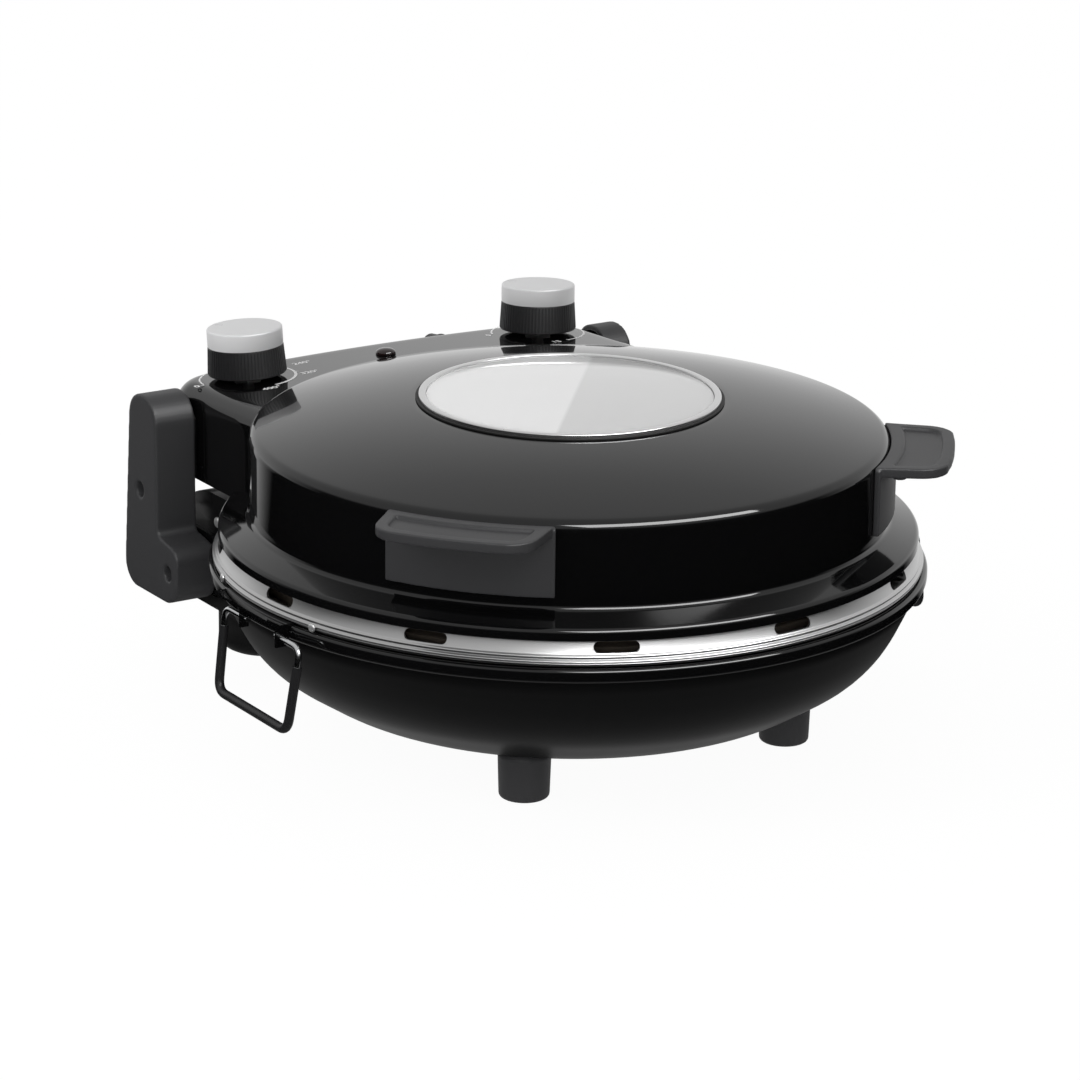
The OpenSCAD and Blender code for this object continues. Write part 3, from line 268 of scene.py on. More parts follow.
def tidied(mesh, sharp, weld=1e-6, turn_out=True):
    """Merges doubles, points the faces outwards and shades smooth up to the sharp angle."""
    shape = bmesh.new()
    shape.from_mesh(mesh)
    bmesh.ops.remove_doubles(shape, verts=shape.verts, dist=weld)
    bmesh.ops.dissolve_degenerate(shape, edges=shape.edges, dist=weld)
    if turn_out:
        bmesh.ops.recalc_face_normals(shape, faces=shape.faces)
    for face in shape.faces:
        face.smooth = True
    shape.to_mesh(mesh)
    shape.free()
    mesh.set_sharp_from_angle(angle=math.radians(sharp))
    return mesh


def smooth_copy(node_name, material, body, slot, sharp=32):
    """The CAD node's own shape, with its facets shaded as one smooth surface."""
    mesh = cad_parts[node_name].data.copy()
    return made_object(node_name + "_skin", tidied(mesh, sharp, turn_out=False), material, body, slot, node_name)


bowl_paint = finish("bowl_paint", (0.004, 0.004, 0.0042), 0.36, 2200, 0.015, cloud=0.10, specular=0.20)
smooth_copy("base_shell", bowl_paint, "base", "bowl_paint", sharp=38)

# Rolled rim under the band: a glossy enamelled roll of sheet that stiffens the bowl's edge.
RIM_R, COLLAR_R = 177.0, 172.0
RIM_TOP, RIM_BOTTOM = -1.6, -8.6


def arc(cx, cz, r, a0, a1, n):
    return [(cx + r * math.cos(math.radians(a0 + (a1 - a0) * i / n)),
             cz + r * math.sin(math.radians(a0 + (a1 - a0) * i / n))) for i in range(n + 1)]


def blended(points, radius, n=4, closed=True):
    """Points of a path with each corner rounded; works for flat outlines and for paths in space."""
    points = [Vector(p) for p in points]
    last, made = len(points), []
    for i, p in enumerate(points):
        r = radius[i] if isinstance(radius, (list, tuple)) else radius
        if r <= 0 or (not closed and i in (0, last - 1)):
            made.append(p)
            continue
        a, b = points[i - 1] - p, points[(i + 1) % last] - p
        half = a.angle(b) / 2
        if half > math.radians(88):
            made.append(p)
            continue
        cut = min(r / math.tan(half), a.length * 0.48, b.length * 0.48)
        start, end = p + a.normalized() * cut, p + b.normalized() * cut
        for k in range(n + 1):
            t = k / n
            made.append(start * (1 - t) ** 2 + p * 2 * t * (1 - t) + end * t ** 2)
    return [tuple(p) for p in made]


def lathe(name, outline, material, body, slot, *replaced, steps=240, sharp=32, closed=True, matrix=None):
    """Turns an outline of (radius, height) in millimetres about the chamber's axis, or about the
    Z axis of a matrix."""
    put = matrix or Matrix.Translation((0, AXIS_Y, RIM_Z))
    size, points, faces = len(outline), [], []
    for i in range(steps):
        a = 2 * math.pi * i / steps
        points += [put @ Vector((r * math.cos(a), r * math.sin(a), z)) * 0.001 for r, z in outline]
    for i in range(steps):
        j = (i + 1) % steps
        for k in range(size if closed else size - 1):
            m = (k + 1) % size
            faces.append((i * size + k, j * size + k, j * size + m, i * size + m))
    mesh = bpy.data.meshes.new(name)
    mesh.from_pydata(points, [], faces)
    return made_object(name, tidied(mesh, sharp), material, body, slot, *replaced)


enamel = finish("gloss_enamel", (0.003, 0.003, 0.0032), 0.06, 90, 0.006, cloud=0.03, specular=0.5)
lathe("rim_roll",
      [(COLLAR_R + 0.05, RIM_BOTTOM + 1), (COLLAR_R + 0.05, RIM_TOP)]
      + arc(RIM_R - 2, RIM_TOP - 2, 2, 90, 0, 8) + arc(RIM_R - 2.5, RIM_BOTTOM + 2.5, 2.5, 0, -90, 8)
      + [(COLLAR_R + 1, RIM_BOTTOM)],
      enamel, "base", "gloss_enamel", "rolled_rim", steps=300)

# Slotted band: bright rolled steel, polished by a wheel that left fine lines round it. Punched
# slots let the steam out; two beads near the foot stiffen it.
BAND_TOP_R, BAND_LOW_R, BAND_H = 170.0, 175.0, 11.3
SLOTS, SLOT_L, SLOT_H, SLOT_PHASE = 12, 21.5, 5.0, 4.7
brushing, inside, outside = group(
    "turned_brushing",
    [("Roughness", "NodeSocketFloat", 0.25), ("Lines", "NodeSocketFloat", 0.15)],
    [("Height", "NodeSocketFloat"), ("Roughness", "NodeSocketFloat")])
at = node(brushing, "ShaderNodeTexCoord")
centred = node(brushing, "ShaderNodeMapping")
centred.inputs["Location"].default_value = (0, -AXIS_Y * 0.001, 0)
brushing.links.new(at.outputs["Object"], centred.inputs["Vector"])
split = node(brushing, "ShaderNodeSeparateXYZ")
brushing.links.new(centred.outputs[0], split.inputs[0])
reach = node(brushing, "ShaderNodeVectorMath", operation="LENGTH")
flat = node(brushing, "ShaderNodeVectorMath", operation="MULTIPLY")
flat.inputs[1].default_value = (1, 1, 0)
brushing.links.new(centred.outputs[0], flat.inputs[0])
brushing.links.new(flat.outputs[0], reach.inputs[0])
joined = node(brushing, "ShaderNodeCombineXYZ")
brushing.links.new(reach.outputs["Value"], joined.inputs["X"])
brushing.links.new(split.outputs["Z"], joined.inputs["Y"])
lines = node(brushing, "ShaderNodeTexNoise", Scale=1100.0, Detail=2.0)
brushing.links.new(joined.outputs[0], lines.inputs["Vector"])
brushing.links.new(lines.outputs["Fac"], outside.inputs["Height"])
around = node(brushing, "ShaderNodeTexNoise", Scale=35.0, Detail=3.0)
brushing.links.new(centred.outputs[0], around.inputs["Vector"])
less = node(brushing, "ShaderNodeMath", operation="SUBTRACT")
less.inputs[1].default_value = 0.5
brushing.links.new(around.outputs["Fac"], less.inputs[0])
add = node(brushing, "ShaderNodeMath", operation="MULTIPLY_ADD")
brushing.links.new(less.outputs[0], add.inputs[0])
brushing.links.new(inside.outputs["Lines"], add.inputs[1])
brushing.links.new(inside.outputs["Roughness"], add.inputs[2])
brushing.links.new(add.outputs[0], outside.inputs["Roughness"])


def brushed(name, colour, roughness, depth, variation=0.05):
    made = bpy.data.materials.new(name)
    made.use_nodes = True
    tree = made.node_tree
    shader = tree.nodes["Principled BSDF"]
    shader.inputs["Base Color"].default_value = (*colour, 1)
    shader.inputs["Metallic"].default_value = 1.0
    effect = node(tree, "ShaderNodeGroup", node_tree=brushing)
    effect.inputs["Roughness"].default_value = roughness
    effect.inputs["Lines"].default_value = variation
    tree.links.new(effect.outputs["Roughness"], shader.inputs["Roughness"])
    relief = node(tree, "ShaderNodeBump", Strength=1.0, Distance=depth * 0.001)
    tree.links.new(effect.outputs["Height"], relief.inputs["Height"])
    tree.links.new(relief.outputs["Normal"], shader.inputs["Normal"])
    return made


bright_sheet = brushed("bright_sheet", (0.55, 0.55, 0.55), 0.30, 0.0004)


def band_side():
    made = [(BAND_LOW_R - 1.6, 0), (BAND_LOW_R - 0.6, 0), (BAND_LOW_R, 0.5)]
    for share_up, out in ((0.14, 0.9), (0.32, 0.7)):
        for i in range(-6, 7):
            z = BAND_H * share_up + i * 0.2
            swell = out * 0.5 * (1 + math.cos(math.pi * i / 6)) - 0.3
            made.append((BAND_LOW_R - (BAND_LOW_R - BAND_TOP_R) * z / BAND_H + swell, z))
    return made + [(BAND_TOP_R + 0.9, BAND_H - 2.4), (BAND_TOP_R, BAND_H)]


band = lathe("band_ring",
             band_side() + [(BAND_TOP_R - 0.8, BAND_H), (BAND_LOW_R - 2.4, 0.6), (COLLAR_R - 1.2, 0.6),
                            (COLLAR_R - 1.2, RIM_TOP + 0.6), (BAND_LOW_R - 1.6, RIM_TOP + 0.6)],
             bright_sheet, "base", "bright_sheet", "slotted_band", steps=300)
# one Geometry Nodes tree sets out copies of a small piece: slots, rivets, knob ribs
copies = bpy.data.node_groups.new("set_out_copies", "GeometryNodeTree")
copies.interface.new_socket(name="Places", in_out="INPUT", socket_type="NodeSocketGeometry")
piece_input = copies.interface.new_socket(name="Piece", in_out="INPUT", socket_type="NodeSocketObject").identifier
finish_input = copies.interface.new_socket(name="Finish", in_out="INPUT", socket_type="NodeSocketMaterial").identifier
copies.interface.new_socket(name="Copies", in_out="OUTPUT", socket_type="NodeSocketGeometry")
given, result = node(copies, "NodeGroupInput"), node(copies, "NodeGroupOutput")
unit = node(copies, "GeometryNodeObjectInfo", transform_space="ORIGINAL")
copies.links.new(given.outputs["Piece"], unit.inputs["Object"])
turned = None
for letter, pivot in (("Z", "AUTO"), ("X", "Z")):
    wanted = node(copies, "GeometryNodeInputNamedAttribute", data_type="FLOAT_VECTOR", Name="way_" + letter)
    align = node(copies, "FunctionNodeAlignRotationToVector", axis=letter, pivot_axis=pivot)
    copies.links.new(wanted.outputs["Attribute"], align.inputs["Vector"])
    if turned:
        copies.links.new(turned, align.inputs["Rotation"])
    turned = align.outputs["Rotation"]
spots = node(copies, "GeometryNodeInstanceOnPoints")
solid = node(copies, "GeometryNodeRealizeInstances")
coated = node(copies, "GeometryNodeSetMaterial")
for source, target in ((given.outputs["Places"], spots.inputs["Points"]), (unit.outputs["Geometry"], spots.inputs["Instance"]),
                       (turned, spots.inputs["Rotation"]), (spots.outputs[0], solid.inputs[0]),
                       (solid.outputs[0], coated.inputs["Geometry"]), (given.outputs["Finish"], coated.inputs["Material"]),
                       (coated.outputs[0], result.inputs[0])):
    copies.links.new(source, target)


def set_out(name, points, faces, places, material):
    """Copies of a small solid, drawn in millimetres, at places of (point, way of Z, way of X)."""
    small = bpy.data.meshes.new("small")
    small.from_pydata([Vector(p) * 0.001 for p in points], [], faces)
    tidied(small, 40)
    small_piece = bpy.data.objects.new("small", small)
    spots = bpy.data.meshes.new("spots")
    spots.from_pydata([Vector(p) * 0.001 for p, _, _ in places], [], [])
    for letter, which in (("Z", 1), ("X", 2)):
        ways = spots.attributes.new("way_" + letter, "FLOAT_VECTOR", "POINT")
        ways.data.foreach_set("vector", [c for place in places for c in Vector(place[which]).normalized()])
    work = bpy.data.objects.new("work", spots)
    for one in (small_piece, work):
        bpy.context.scene.collection.objects.link(one)
    laid = work.modifiers.new("set_out", "NODES")
    laid.node_group = copies
    laid[piece_input], laid[finish_input] = small_piece, material
    mesh = bpy.data.meshes.new_from_object(work.evaluated_get(bpy.context.evaluated_depsgraph_get()))
    mesh.name = name
    for one in (small_piece, work):
        bpy.data.objects.remove(one)
    return mesh


def prism(outline, low, high):
    """Points and faces of a straight solid over an outline of (x, y), between two heights."""
    size = len(outline)
    return ([(x, y, z) for z in (low, high) for x, y in outline],
            [tuple(range(size))[::-1], tuple(range(size, 2 * size))]
            + [(k, (k + 1) % size, (k + 1) % size + size, k + size) for k in range(size)])


slot_end = (SLOT_L - SLOT_H) / 2
slot_outline = [(x, y + slot_end) for x, y in arc(0, 0, SLOT_H / 2, 0, 180, 12)]
slot_outline += [(x, y - slot_end) for x, y in arc(0, 0, SLOT_H / 2, 180, 360, 12)]
slot_places = []
for i in range(SLOTS):
    a = math.radians(-90 + SLOT_PHASE + 360 / SLOTS * i)
    way = Vector((math.cos(a), math.sin(a), 0))
    slot_places.append((Vector((0, AXIS_Y, RIM_Z + BAND_H - SLOT_H / 2 - 1.2)) + way * BAND_TOP_R, way, (0, 0, 1)))
punch_mesh = set_out("punch", *prism(slot_outline, -12, 14), slot_places, bright_sheet)


def cut(piece, tool_mesh, sharp=32):
    """Cuts the tool out of a piece and keeps the result as the piece's plain mesh."""
    tool = bpy.data.objects.new("tool", tool_mesh)
    bpy.context.scene.collection.objects.link(tool)
    work = piece.modifiers.new("cut", "BOOLEAN")
    work.operation, work.solver, work.object = "DIFFERENCE", "EXACT", tool
    mesh = bpy.data.meshes.new_from_object(piece.evaluated_get(bpy.context.evaluated_depsgraph_get()))
    piece.modifiers.clear()
    piece.data = tidied(mesh, sharp, turn_out=False)
    bpy.data.objects.remove(tool)
    return piece


cut(band, punch_mesh)

# Feet: four round moulded pegs under the bowl, each held by a screw from below. The plastic has
# the fine spark-eroded grain of its mould.
charcoal = finish("charcoal_plastic", (0.036, 0.036, 0.038), 0.48, 2600, 0.05, cloud=0.10, specular=0.42)


def voxelled(node_name, material, body, slot, voxel=0.7, passes=5, sharp=50):
    """A moulded piece: the CAD node's shape with its edges softened as a mould leaves them."""
    mesh = tidied(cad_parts[node_name].data.copy(), 30, turn_out=False)
    work = bpy.data.objects.new("work", mesh)
    bpy.context.scene.collection.objects.link(work)
    fill = work.modifiers.new("remesh", "REMESH")
    fill.mode, fill.voxel_size = "VOXEL", voxel * 0.001
    relax = work.modifiers.new("relax", "SMOOTH")
    relax.factor, relax.iterations = 0.5, passes
    made = bpy.data.meshes.new_from_object(work.evaluated_get(bpy.context.evaluated_depsgraph_get()))
    bpy.data.objects.remove(work)
    for face in made.polygons:
        face.use_smooth = True
    made.set_sharp_from_angle(angle=math.radians(sharp))
    return made_object(node_name + "_moulding", made, material, body, slot, node_name)


smooth_copy("feet", charcoal, "base", "charcoal_plastic", sharp=40)

# Fasteners: zinc-plated screws and nuts, hinge pins and rivets, turned or headed from wire.
zinc = finish("zinc_steel", (0.80, 0.80, 0.80), 0.36, 700, 0.01, cloud=0.2, metal=0.85)


def coat_node(node_name, material):
    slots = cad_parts[node_name].material_slots
    for slot in slots:
        slot.material = material
    if not slots:
        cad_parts[node_name].data.materials.append(material)


for name in ("foot_screws", "hinge_pins", "arm_screws", "ear_screws", "left_lid_ear", "right_lid_ear",
             "control_nuts", "handle_screws", "temperature_shaft", "timer_shaft", "box_floor_plate"):
    coat_node(name, zinc)


def turned_solid(outline, steps=28):
    """Points and faces of a small turned solid whose outline starts and ends on the Z axis."""
    size = len(outline)
    points = [(r * math.cos(2 * math.pi * i / steps), r * math.sin(2 * math.pi * i / steps), z)
              for i in range(steps) for r, z in outline]
    return points, [(i * size + k, (i + 1) % steps * size + k, (i + 1) % steps * size + k + 1, i * size + k + 1)
                    for i in range(steps) for k in range(size - 1)]


def rivet_head(r):
    dome = [(r * math.cos(math.radians(9 * i)), 0.15 * r + 0.45 * r * math.sin(math.radians(9 * i))) for i in range(10)]
    return turned_solid([(0, -1.4), (0.5 * r, -1.4), (0.5 * r, 0), (r, 0)] + dome + [(0, 0.6 * r)])


band_rivets, end_rivets = [], []
for side in (-1, 1):
    for y in (-43.0, 44.0):
        a = math.asin(y / BAND_LOW_R)
        way = Vector((side * math.cos(a), math.sin(a), 0))
        band_rivets.append((way * BAND_LOW_R + Vector((0, AXIS_Y, RIM_Z + 0.7)), way, (0, 0, 1)))
    end_rivets.append(((side * 120.2, 139.5 + AXIS_Y, RIM_Z - 5), (side, 0, 0), (0, 0, 1)))
made_object("band_rivet_heads", set_out("band_rivet_heads", *rivet_head(2.1), band_rivets, zinc), zinc,
            "base", "zinc_steel", "base_rivets")
made_object("end_rivet_heads", set_out("end_rivet_heads", *rivet_head(2.8), end_rivets, zinc), zinc,
            "base", "zinc_steel", "base_rivets")

# Hinge: pressed brackets in the bowl's enamel carry the pins. Over each one goes a hollow moulded
# arm; the left one is wider, because it also hides the wiring.
for name in ("left_hinge_bracket", "right_hinge_bracket"):
    coat_node(name, enamel)
for name in ("left_hinge_arm", "right_hinge_arm"):
    voxelled(name, charcoal, "base", "charcoal_plastic", voxel=0.75, passes=4)

# Bail brackets: small enamelled trays riveted on the band's foot.
for name in ("left_bail_bracket", "right_bail_bracket"):
    coat_node(name, enamel)

# Baking stone: pressed and fired refractory clay, buff, with darker grog grains; its outer rim is painted near black,
# a painted shade for the dark edge seen through the band's slots.
STONE_R, STONE_TOP, STONE_LOW = 160.6, 4.0, -8.0
clay = tint(finish("fired_clay", (0.56, 0.43, 0.28), 0.85, 420, 0.25, cloud=0.1, specular=0.3),
            (0.47, 0.36, 0.24), (0.62, 0.50, 0.35), 160.0)
tree = clay.node_tree
place = node(tree, "ShaderNodeTexCoord")
centred = node(tree, "ShaderNodeMapping")
centred.inputs["Location"].default_value = (0, -AXIS_Y * 0.001, -RIM_Z * 0.001)
reach = node(tree, "ShaderNodeVectorMath", operation="LENGTH")
# painted shade: from about 144 mm out from the axis the clay colour fades to near black
painted_shade_rim = node(tree, "ShaderNodeMix", data_type="RGBA")
painted_shade_rim.inputs[7].default_value = (0.055, 0.045, 0.036, 1)
buff = tree.nodes["Principled BSDF"].inputs["Base Color"].links[0].from_socket
tree.links.new(place.outputs["Object"], centred.inputs["Vector"])
tree.links.new(centred.outputs[0], reach.inputs[0])
scaled = node(tree, "ShaderNodeMath", operation="MULTIPLY")
scaled.inputs[1].default_value = 5.0
tree.links.new(reach.outputs["Value"], scaled.inputs[0])
tree.links.new(ramp_of(tree, scaled.outputs[0], ((0.72, 0.0), (0.775, 1.0))), painted_shade_rim.inputs[0])
tree.links.new(buff, painted_shade_rim.inputs[6])
tree.links.new(painted_shade_rim.outputs[2], tree.nodes["Principled BSDF"].inputs["Base Color"])
lathe("stone_disc",
      [(0, STONE_LOW)] + arc(STONE_R - 1, STONE_LOW + 1, 1, -90, 0, 4)
      + arc(STONE_R - 1, STONE_TOP - 1, 1, 0, 90, 4) + [(0, STONE_TOP)],
      clay, "base", "fired_clay", "baking_stone", steps=200, closed=False)

# Chamber: the pan and the lid's liner are bright sheet that throws the heat back; the tubular
# heaters have an oxidised steel sheath and sit in sheet saddles.
for name, body in (("inner_pan", "base"), ("lid_liner", "lid")):
    smooth_copy(name, bright_sheet, body, "bright_sheet")
for name in ("lower_heater_clips", "upper_heater_clips", "glass_retainer", "heat_shield"):
    coat_node(name, bright_sheet)
sheath = tint(finish("heater_sheath", (0.16, 0.15, 0.14), 0.45, 900, 0.02, cloud=0.2, metal=0.8),
              (0.10, 0.085, 0.075), (0.22, 0.20, 0.20), 30.0)
for name, body in (("lower_heater", "base"), ("upper_heater", "lid")):
    smooth_copy(name, sheath, body, "heater_sheath", sharp=60)

# Lid: a domed pressing with a straight wall, a sloping flange and a turned-down lip that closes
# round the band. Glossy black enamel covers it inside and out.
WALL_R, LIP_OUT_R, LID_SHEET = 157.0, 172.2, 1.2
WALL_TOP, SHOULDER_R, SHOULDER_SLOPE = 57.8, 6.0, 15.0
DOME_EDGE_Z = WALL_TOP + SHOULDER_R * math.cos(math.radians(SHOULDER_SLOPE))
DOME_TOP, WINDOW_R, RING_W = DOME_EDGE_Z + 14, 74.0, 3.6
FLANGE_Z, FLANGE_SLOPE, FLARE_R, LIP_R, LIP_BOTTOM = 20.0, 19.0, 3.5, 3.0, 10.8
HOLE_R = WINDOW_R - RING_W + 1.2


def bulge(a, b, s, n):
    """Points of a shallow arc from a to b that rises by s in its middle."""
    ax, az, bx, bz = *a, *b
    length = math.hypot(bx - ax, bz - az)
    c = length / 2
    r = (c * c + s * s) / (2 * s)
    dx, dz = (bx - ax) / length, (bz - az) / length
    ox, oz = (ax + bx) / 2 - dz * -(r - s), (az + bz) / 2 - dx * (r - s)
    a0, a1 = math.degrees(math.atan2(az - oz, ax - ox)), math.degrees(math.atan2(bz - oz, bx - ox))
    return arc(ox, oz, r, a0, a1, n)


def shifted(points, t):
    """The path moved sideways by t, to the left of its run."""
    made = []
    for i, p in enumerate(points):
        sides = []
        for q, s in ((points[max(i - 1, 0)], p), (p, points[min(i + 1, len(points) - 1)])):
            length = math.hypot(s[0] - q[0], s[1] - q[1])
            if length > 1e-9:
                sides.append((-(s[1] - q[1]) / length, (s[0] - q[0]) / length))
        x, z = sum(s[0] for s in sides), sum(s[1] for s in sides)
        length = math.hypot(x, z)
        x, z = x / length, z / length
        k = t / (x * sides[0][0] + z * sides[0][1])
        made.append((p[0] + x * k, p[1] + z * k))
    return made


def lid_side():
    flare_end = WALL_R + FLARE_R - FLARE_R * math.sin(math.radians(FLANGE_SLOPE))
    lip_start = LIP_OUT_R - LIP_R + LIP_R * math.sin(math.radians(FLANGE_SLOPE))
    flare_low = FLANGE_Z + FLARE_R - FLARE_R * math.cos(math.radians(FLANGE_SLOPE))
    lip_z = (flare_low - (lip_start - flare_end) * math.tan(math.radians(FLANGE_SLOPE))
             - LIP_R * math.cos(math.radians(FLANGE_SLOPE)))
    edge = (WALL_R - SHOULDER_R + SHOULDER_R * math.sin(math.radians(SHOULDER_SLOPE)), DOME_EDGE_Z)
    return ([(HOLE_R, DOME_TOP)] + bulge((WINDOW_R + 3, DOME_TOP), edge, 1.6, 30)
            + arc(WALL_R - SHOULDER_R, WALL_TOP, SHOULDER_R, 90 - SHOULDER_SLOPE - 6, 0, 14)
            + arc(WALL_R + FLARE_R, FLANGE_Z + FLARE_R, FLARE_R, 180, 270 - FLANGE_SLOPE, 12)
            + arc(LIP_OUT_R - LIP_R, lip_z, LIP_R, 90 - FLANGE_SLOPE, 0, 12) + [(LIP_OUT_R, LIP_BOTTOM)])


dome = lid_side()
lathe("lid_dome", dome + shifted(dome, -LID_SHEET)[::-1], enamel, "lid", "gloss_enamel", "lid_shell", steps=360)

# Control box: pressed with the lid and welded to its back. Its top is slightly crowned and falls
# towards the back, with generous round edges.
BOX_HALF, BOX_BACK, BOX_FLOOR, BOX_TOP = 121.0, 197.0, 12.6, 60.0
BOX_TILT, CROWN_R, BOX_EDGE_R, BOX_CORNER_R = math.radians(3.2), 2370.0, 10.5, 22.0
KNOB_X, KNOB_Y = 87.4, 167.0
CROWN_TOP = BOX_TOP + CROWN_R - math.sqrt(CROWN_R ** 2 - KNOB_X ** 2)
BOX_FRONT = math.sqrt(WALL_R ** 2 - BOX_HALF ** 2) - 3


def box_top(x, y):
    drop = CROWN_R - math.sqrt(CROWN_R ** 2 - x * x)
    return CROWN_TOP - (y - KNOB_Y) * math.tan(BOX_TILT) - drop


def box_ring(inset, fall):
    """One ring of the box's skin: the plan moved inwards by inset, fall below the crowned top."""
    half, back, corner = BOX_HALF - inset, BOX_BACK - inset, max(BOX_CORNER_R - inset, 0.0)
    flat_plan = [(half, BOX_FRONT + (back - corner - BOX_FRONT) * i / 12) for i in range(12)]
    flat_plan += arc(half - corner, back - corner, corner, 0, 90, 14)
    flat_plan += [(half - corner - (2 * half - 2 * corner) * i / 40, back) for i in range(1, 40)]
    flat_plan += arc(-half + corner, back - corner, corner, 90, 180, 14)
    flat_plan += [(-half, back - corner - (back - corner - BOX_FRONT) * i / 12) for i in range(1, 13)]
    return [(x, y, box_top(x, y) - fall if fall is not None else BOX_FLOOR) for x, y in flat_plan]


rings = [box_ring(0, None), box_ring(0, 30), box_ring(0, BOX_EDGE_R + 4)]
for k in range(13):
    a = math.radians(90 * k / 12)
    rings.append(box_ring(BOX_EDGE_R * (1 - math.cos(a)), BOX_EDGE_R * (1 - math.sin(a))))
rings += [box_ring(d, 0) for d in (14, 20, 28, 40, 55, 75, BOX_BACK - BOX_FRONT - 0.5)]
inner = [box_ring(LID_SHEET, None)] + [box_ring(LID_SHEET, 30), box_ring(LID_SHEET, BOX_EDGE_R + 4)]
for k in range(7):
    a = math.radians(15 * k)
    r = BOX_EDGE_R - LID_SHEET
    inner.append(box_ring(LID_SHEET + r * (1 - math.cos(a)), LID_SHEET + r * (1 - math.sin(a))))
inner += [box_ring(d, LID_SHEET) for d in (14, 28, 55, BOX_BACK - BOX_FRONT - 0.5)]
points, faces = [], []


def add_rings(stack, flip):
    base = len(points)
    size = len(stack[0])
    for ring in stack:
        points.extend((x * 0.001, (y + AXIS_Y) * 0.001, (z + RIM_Z) * 0.001) for x, y, z in ring)
    for i in range(len(stack) - 1):
        for k in range(size - 1):
            quad = (base + i * size + k, base + i * size + k + 1,
                    base + (i + 1) * size + k + 1, base + (i + 1) * size + k)
            faces.append(quad[::-1] if flip else quad)
    return base, size


outer_base, count = add_rings(rings, False)
inner_base, _ = add_rings(inner, True)
for k in range(count - 1):
    faces.append((outer_base + k + 1, outer_base + k, inner_base + k, inner_base + k + 1))
box_mesh = bpy.data.meshes.new("control_box")
box_mesh.from_pydata(points, [], faces)
box = made_object("control_box", tidied(box_mesh, 40, turn_out=False), enamel, "lid", "gloss_enamel")

# Window: a satin ring clamps the outer pane on a rubber gasket; a second pane sits in the liner.
# The panes are toughened glass whose near-white base colour is a painted reflection with a painted glint:
# lighter on one side of a slanting line, a shade darker on the other.
RING_SEAT = DOME_TOP + 1.0
RING_TOP, RING_FOOT = RING_SEAT + 1.6, RING_SEAT - 6.4
GLASS_R = WINDOW_R - RING_W
PAINTED_GLINT = (0.767, -0.642, 0.0121)
rubber = finish("black_rubber", (0.010, 0.010, 0.010), 0.62, 1500, 0.02, specular=0.35)
ring_metal = brushed("ring_metal", (0.70, 0.70, 0.70), 0.28, 0.0004)
lathe("window_seat", blended([(HOLE_R - 0.3, DOME_TOP), (WINDOW_R + 1.6, DOME_TOP), (WINDOW_R + 1.6, RING_SEAT),
                              (HOLE_R - 0.3, RING_SEAT)], 0.35),
      rubber, "lid", "black_rubber", "window_gasket")
lathe("window_rim", blended([(GLASS_R - 3, RING_FOOT), (HOLE_R - 0.4, RING_FOOT), (HOLE_R - 0.4, RING_SEAT),
                             (WINDOW_R, RING_SEAT), (WINDOW_R, RING_TOP), (GLASS_R + 0.1, RING_TOP),
                             (GLASS_R + 0.1, RING_FOOT + 1), (GLASS_R - 3, RING_FOOT + 1)],
                            [0.2, 0.2, 0, 0.2, 0.7, 0.6, 0, 0.2]),
      ring_metal, "lid", "ring_metal", "window_ring")
coat_node("glass_seal", rubber)
pane = bpy.data.materials.new("clear_glass")
pane.use_nodes = True
tree = pane.node_tree
shader = tree.nodes["Principled BSDF"]
shader.inputs["Transmission Weight"].default_value = 0.15
shader.inputs["IOR"].default_value = 1.52
haze = node(tree, "ShaderNodeGroup", node_tree=grain)
haze.inputs["Scale"].default_value, haze.inputs["Roughness"].default_value = 40, 0.04
haze.inputs["Cloud"].default_value = 0.02
tree.links.new(haze.outputs["Roughness"], shader.inputs["Roughness"])
# painted reflection and glint: the base colour is 0.98 on one side of the slanting line and 0.78 on the other
place = node(tree, "ShaderNodeTexCoord")
slant = node(tree, "ShaderNodeVectorMath", operation="DOT_PRODUCT")
slant.inputs[1].default_value = (PAINTED_GLINT[0], PAINTED_GLINT[1], 0)
tree.links.new(place.outputs["Object"], slant.inputs[0])
shift = node(tree, "ShaderNodeMath", operation="MULTIPLY_ADD")
shift.inputs[1].default_value, shift.inputs[2].default_value = 4.0, 0.5 - PAINTED_GLINT[2] * 4.0
tree.links.new(slant.outputs["Value"], shift.inputs[0])
tree.links.new(ramp_of(tree, shift.outputs[0], ((0.4985, 0.98), (0.5015, 0.78))), shader.inputs["Base Color"])


def pane_outline(r, low, high):
    return [(0, low)] + arc(r - 0.5, low + 0.5, 0.5, -90, 0, 3) + arc(r - 0.5, high - 0.5, 0.5, 0, 90, 3) + [(0, high)]


LINER_TOP = DOME_TOP - 10.5
lathe("outer_pane", pane_outline(GLASS_R, RING_TOP - 5, RING_TOP - 1), pane, "lid", "clear_glass",
      "outer_glass", closed=False)
lathe("inner_pane", pane_outline(GLASS_R - 4, LINER_TOP, LINER_TOP + 3), pane, "lid", "clear_glass",
      "inner_glass", closed=False)

# Inside the box and on its walls: switch bodies, terminals, the cord gland and the pilot lamp
# with its dark glossy lens.
cream = finish("switch_body", (0.55, 0.52, 0.44), 0.55, 1200, 0.02)
coat_node("thermostat", cream)
coat_node("terminal_block", cream)
case_metal = finish("timer_case", (0.45, 0.46, 0.47), 0.38, 500, 0.01, metal=1.0)
coat_node("timer", case_metal)
black_plastic = finish("black_plastic", (0.012, 0.012, 0.013), 0.42, 2600, 0.03, specular=0.45)
coat_node("cord_gland", black_plastic)
lens = finish("lamp_lens", (0.012, 0.004, 0.004), 0.05, 200, 0.004, coat=0.4)
smooth_copy("pilot_lamp", lens, "lid", "lamp_lens", sharp=35)

# Dial marks: white print on the box's top, an arc round each knob with plain numbers.
print_white = finish("dial_print", (0.92, 0.92, 0.92), 0.40, 3000, 0.002)
MARK_R, MARK_LIFT = 24.5, 0.06


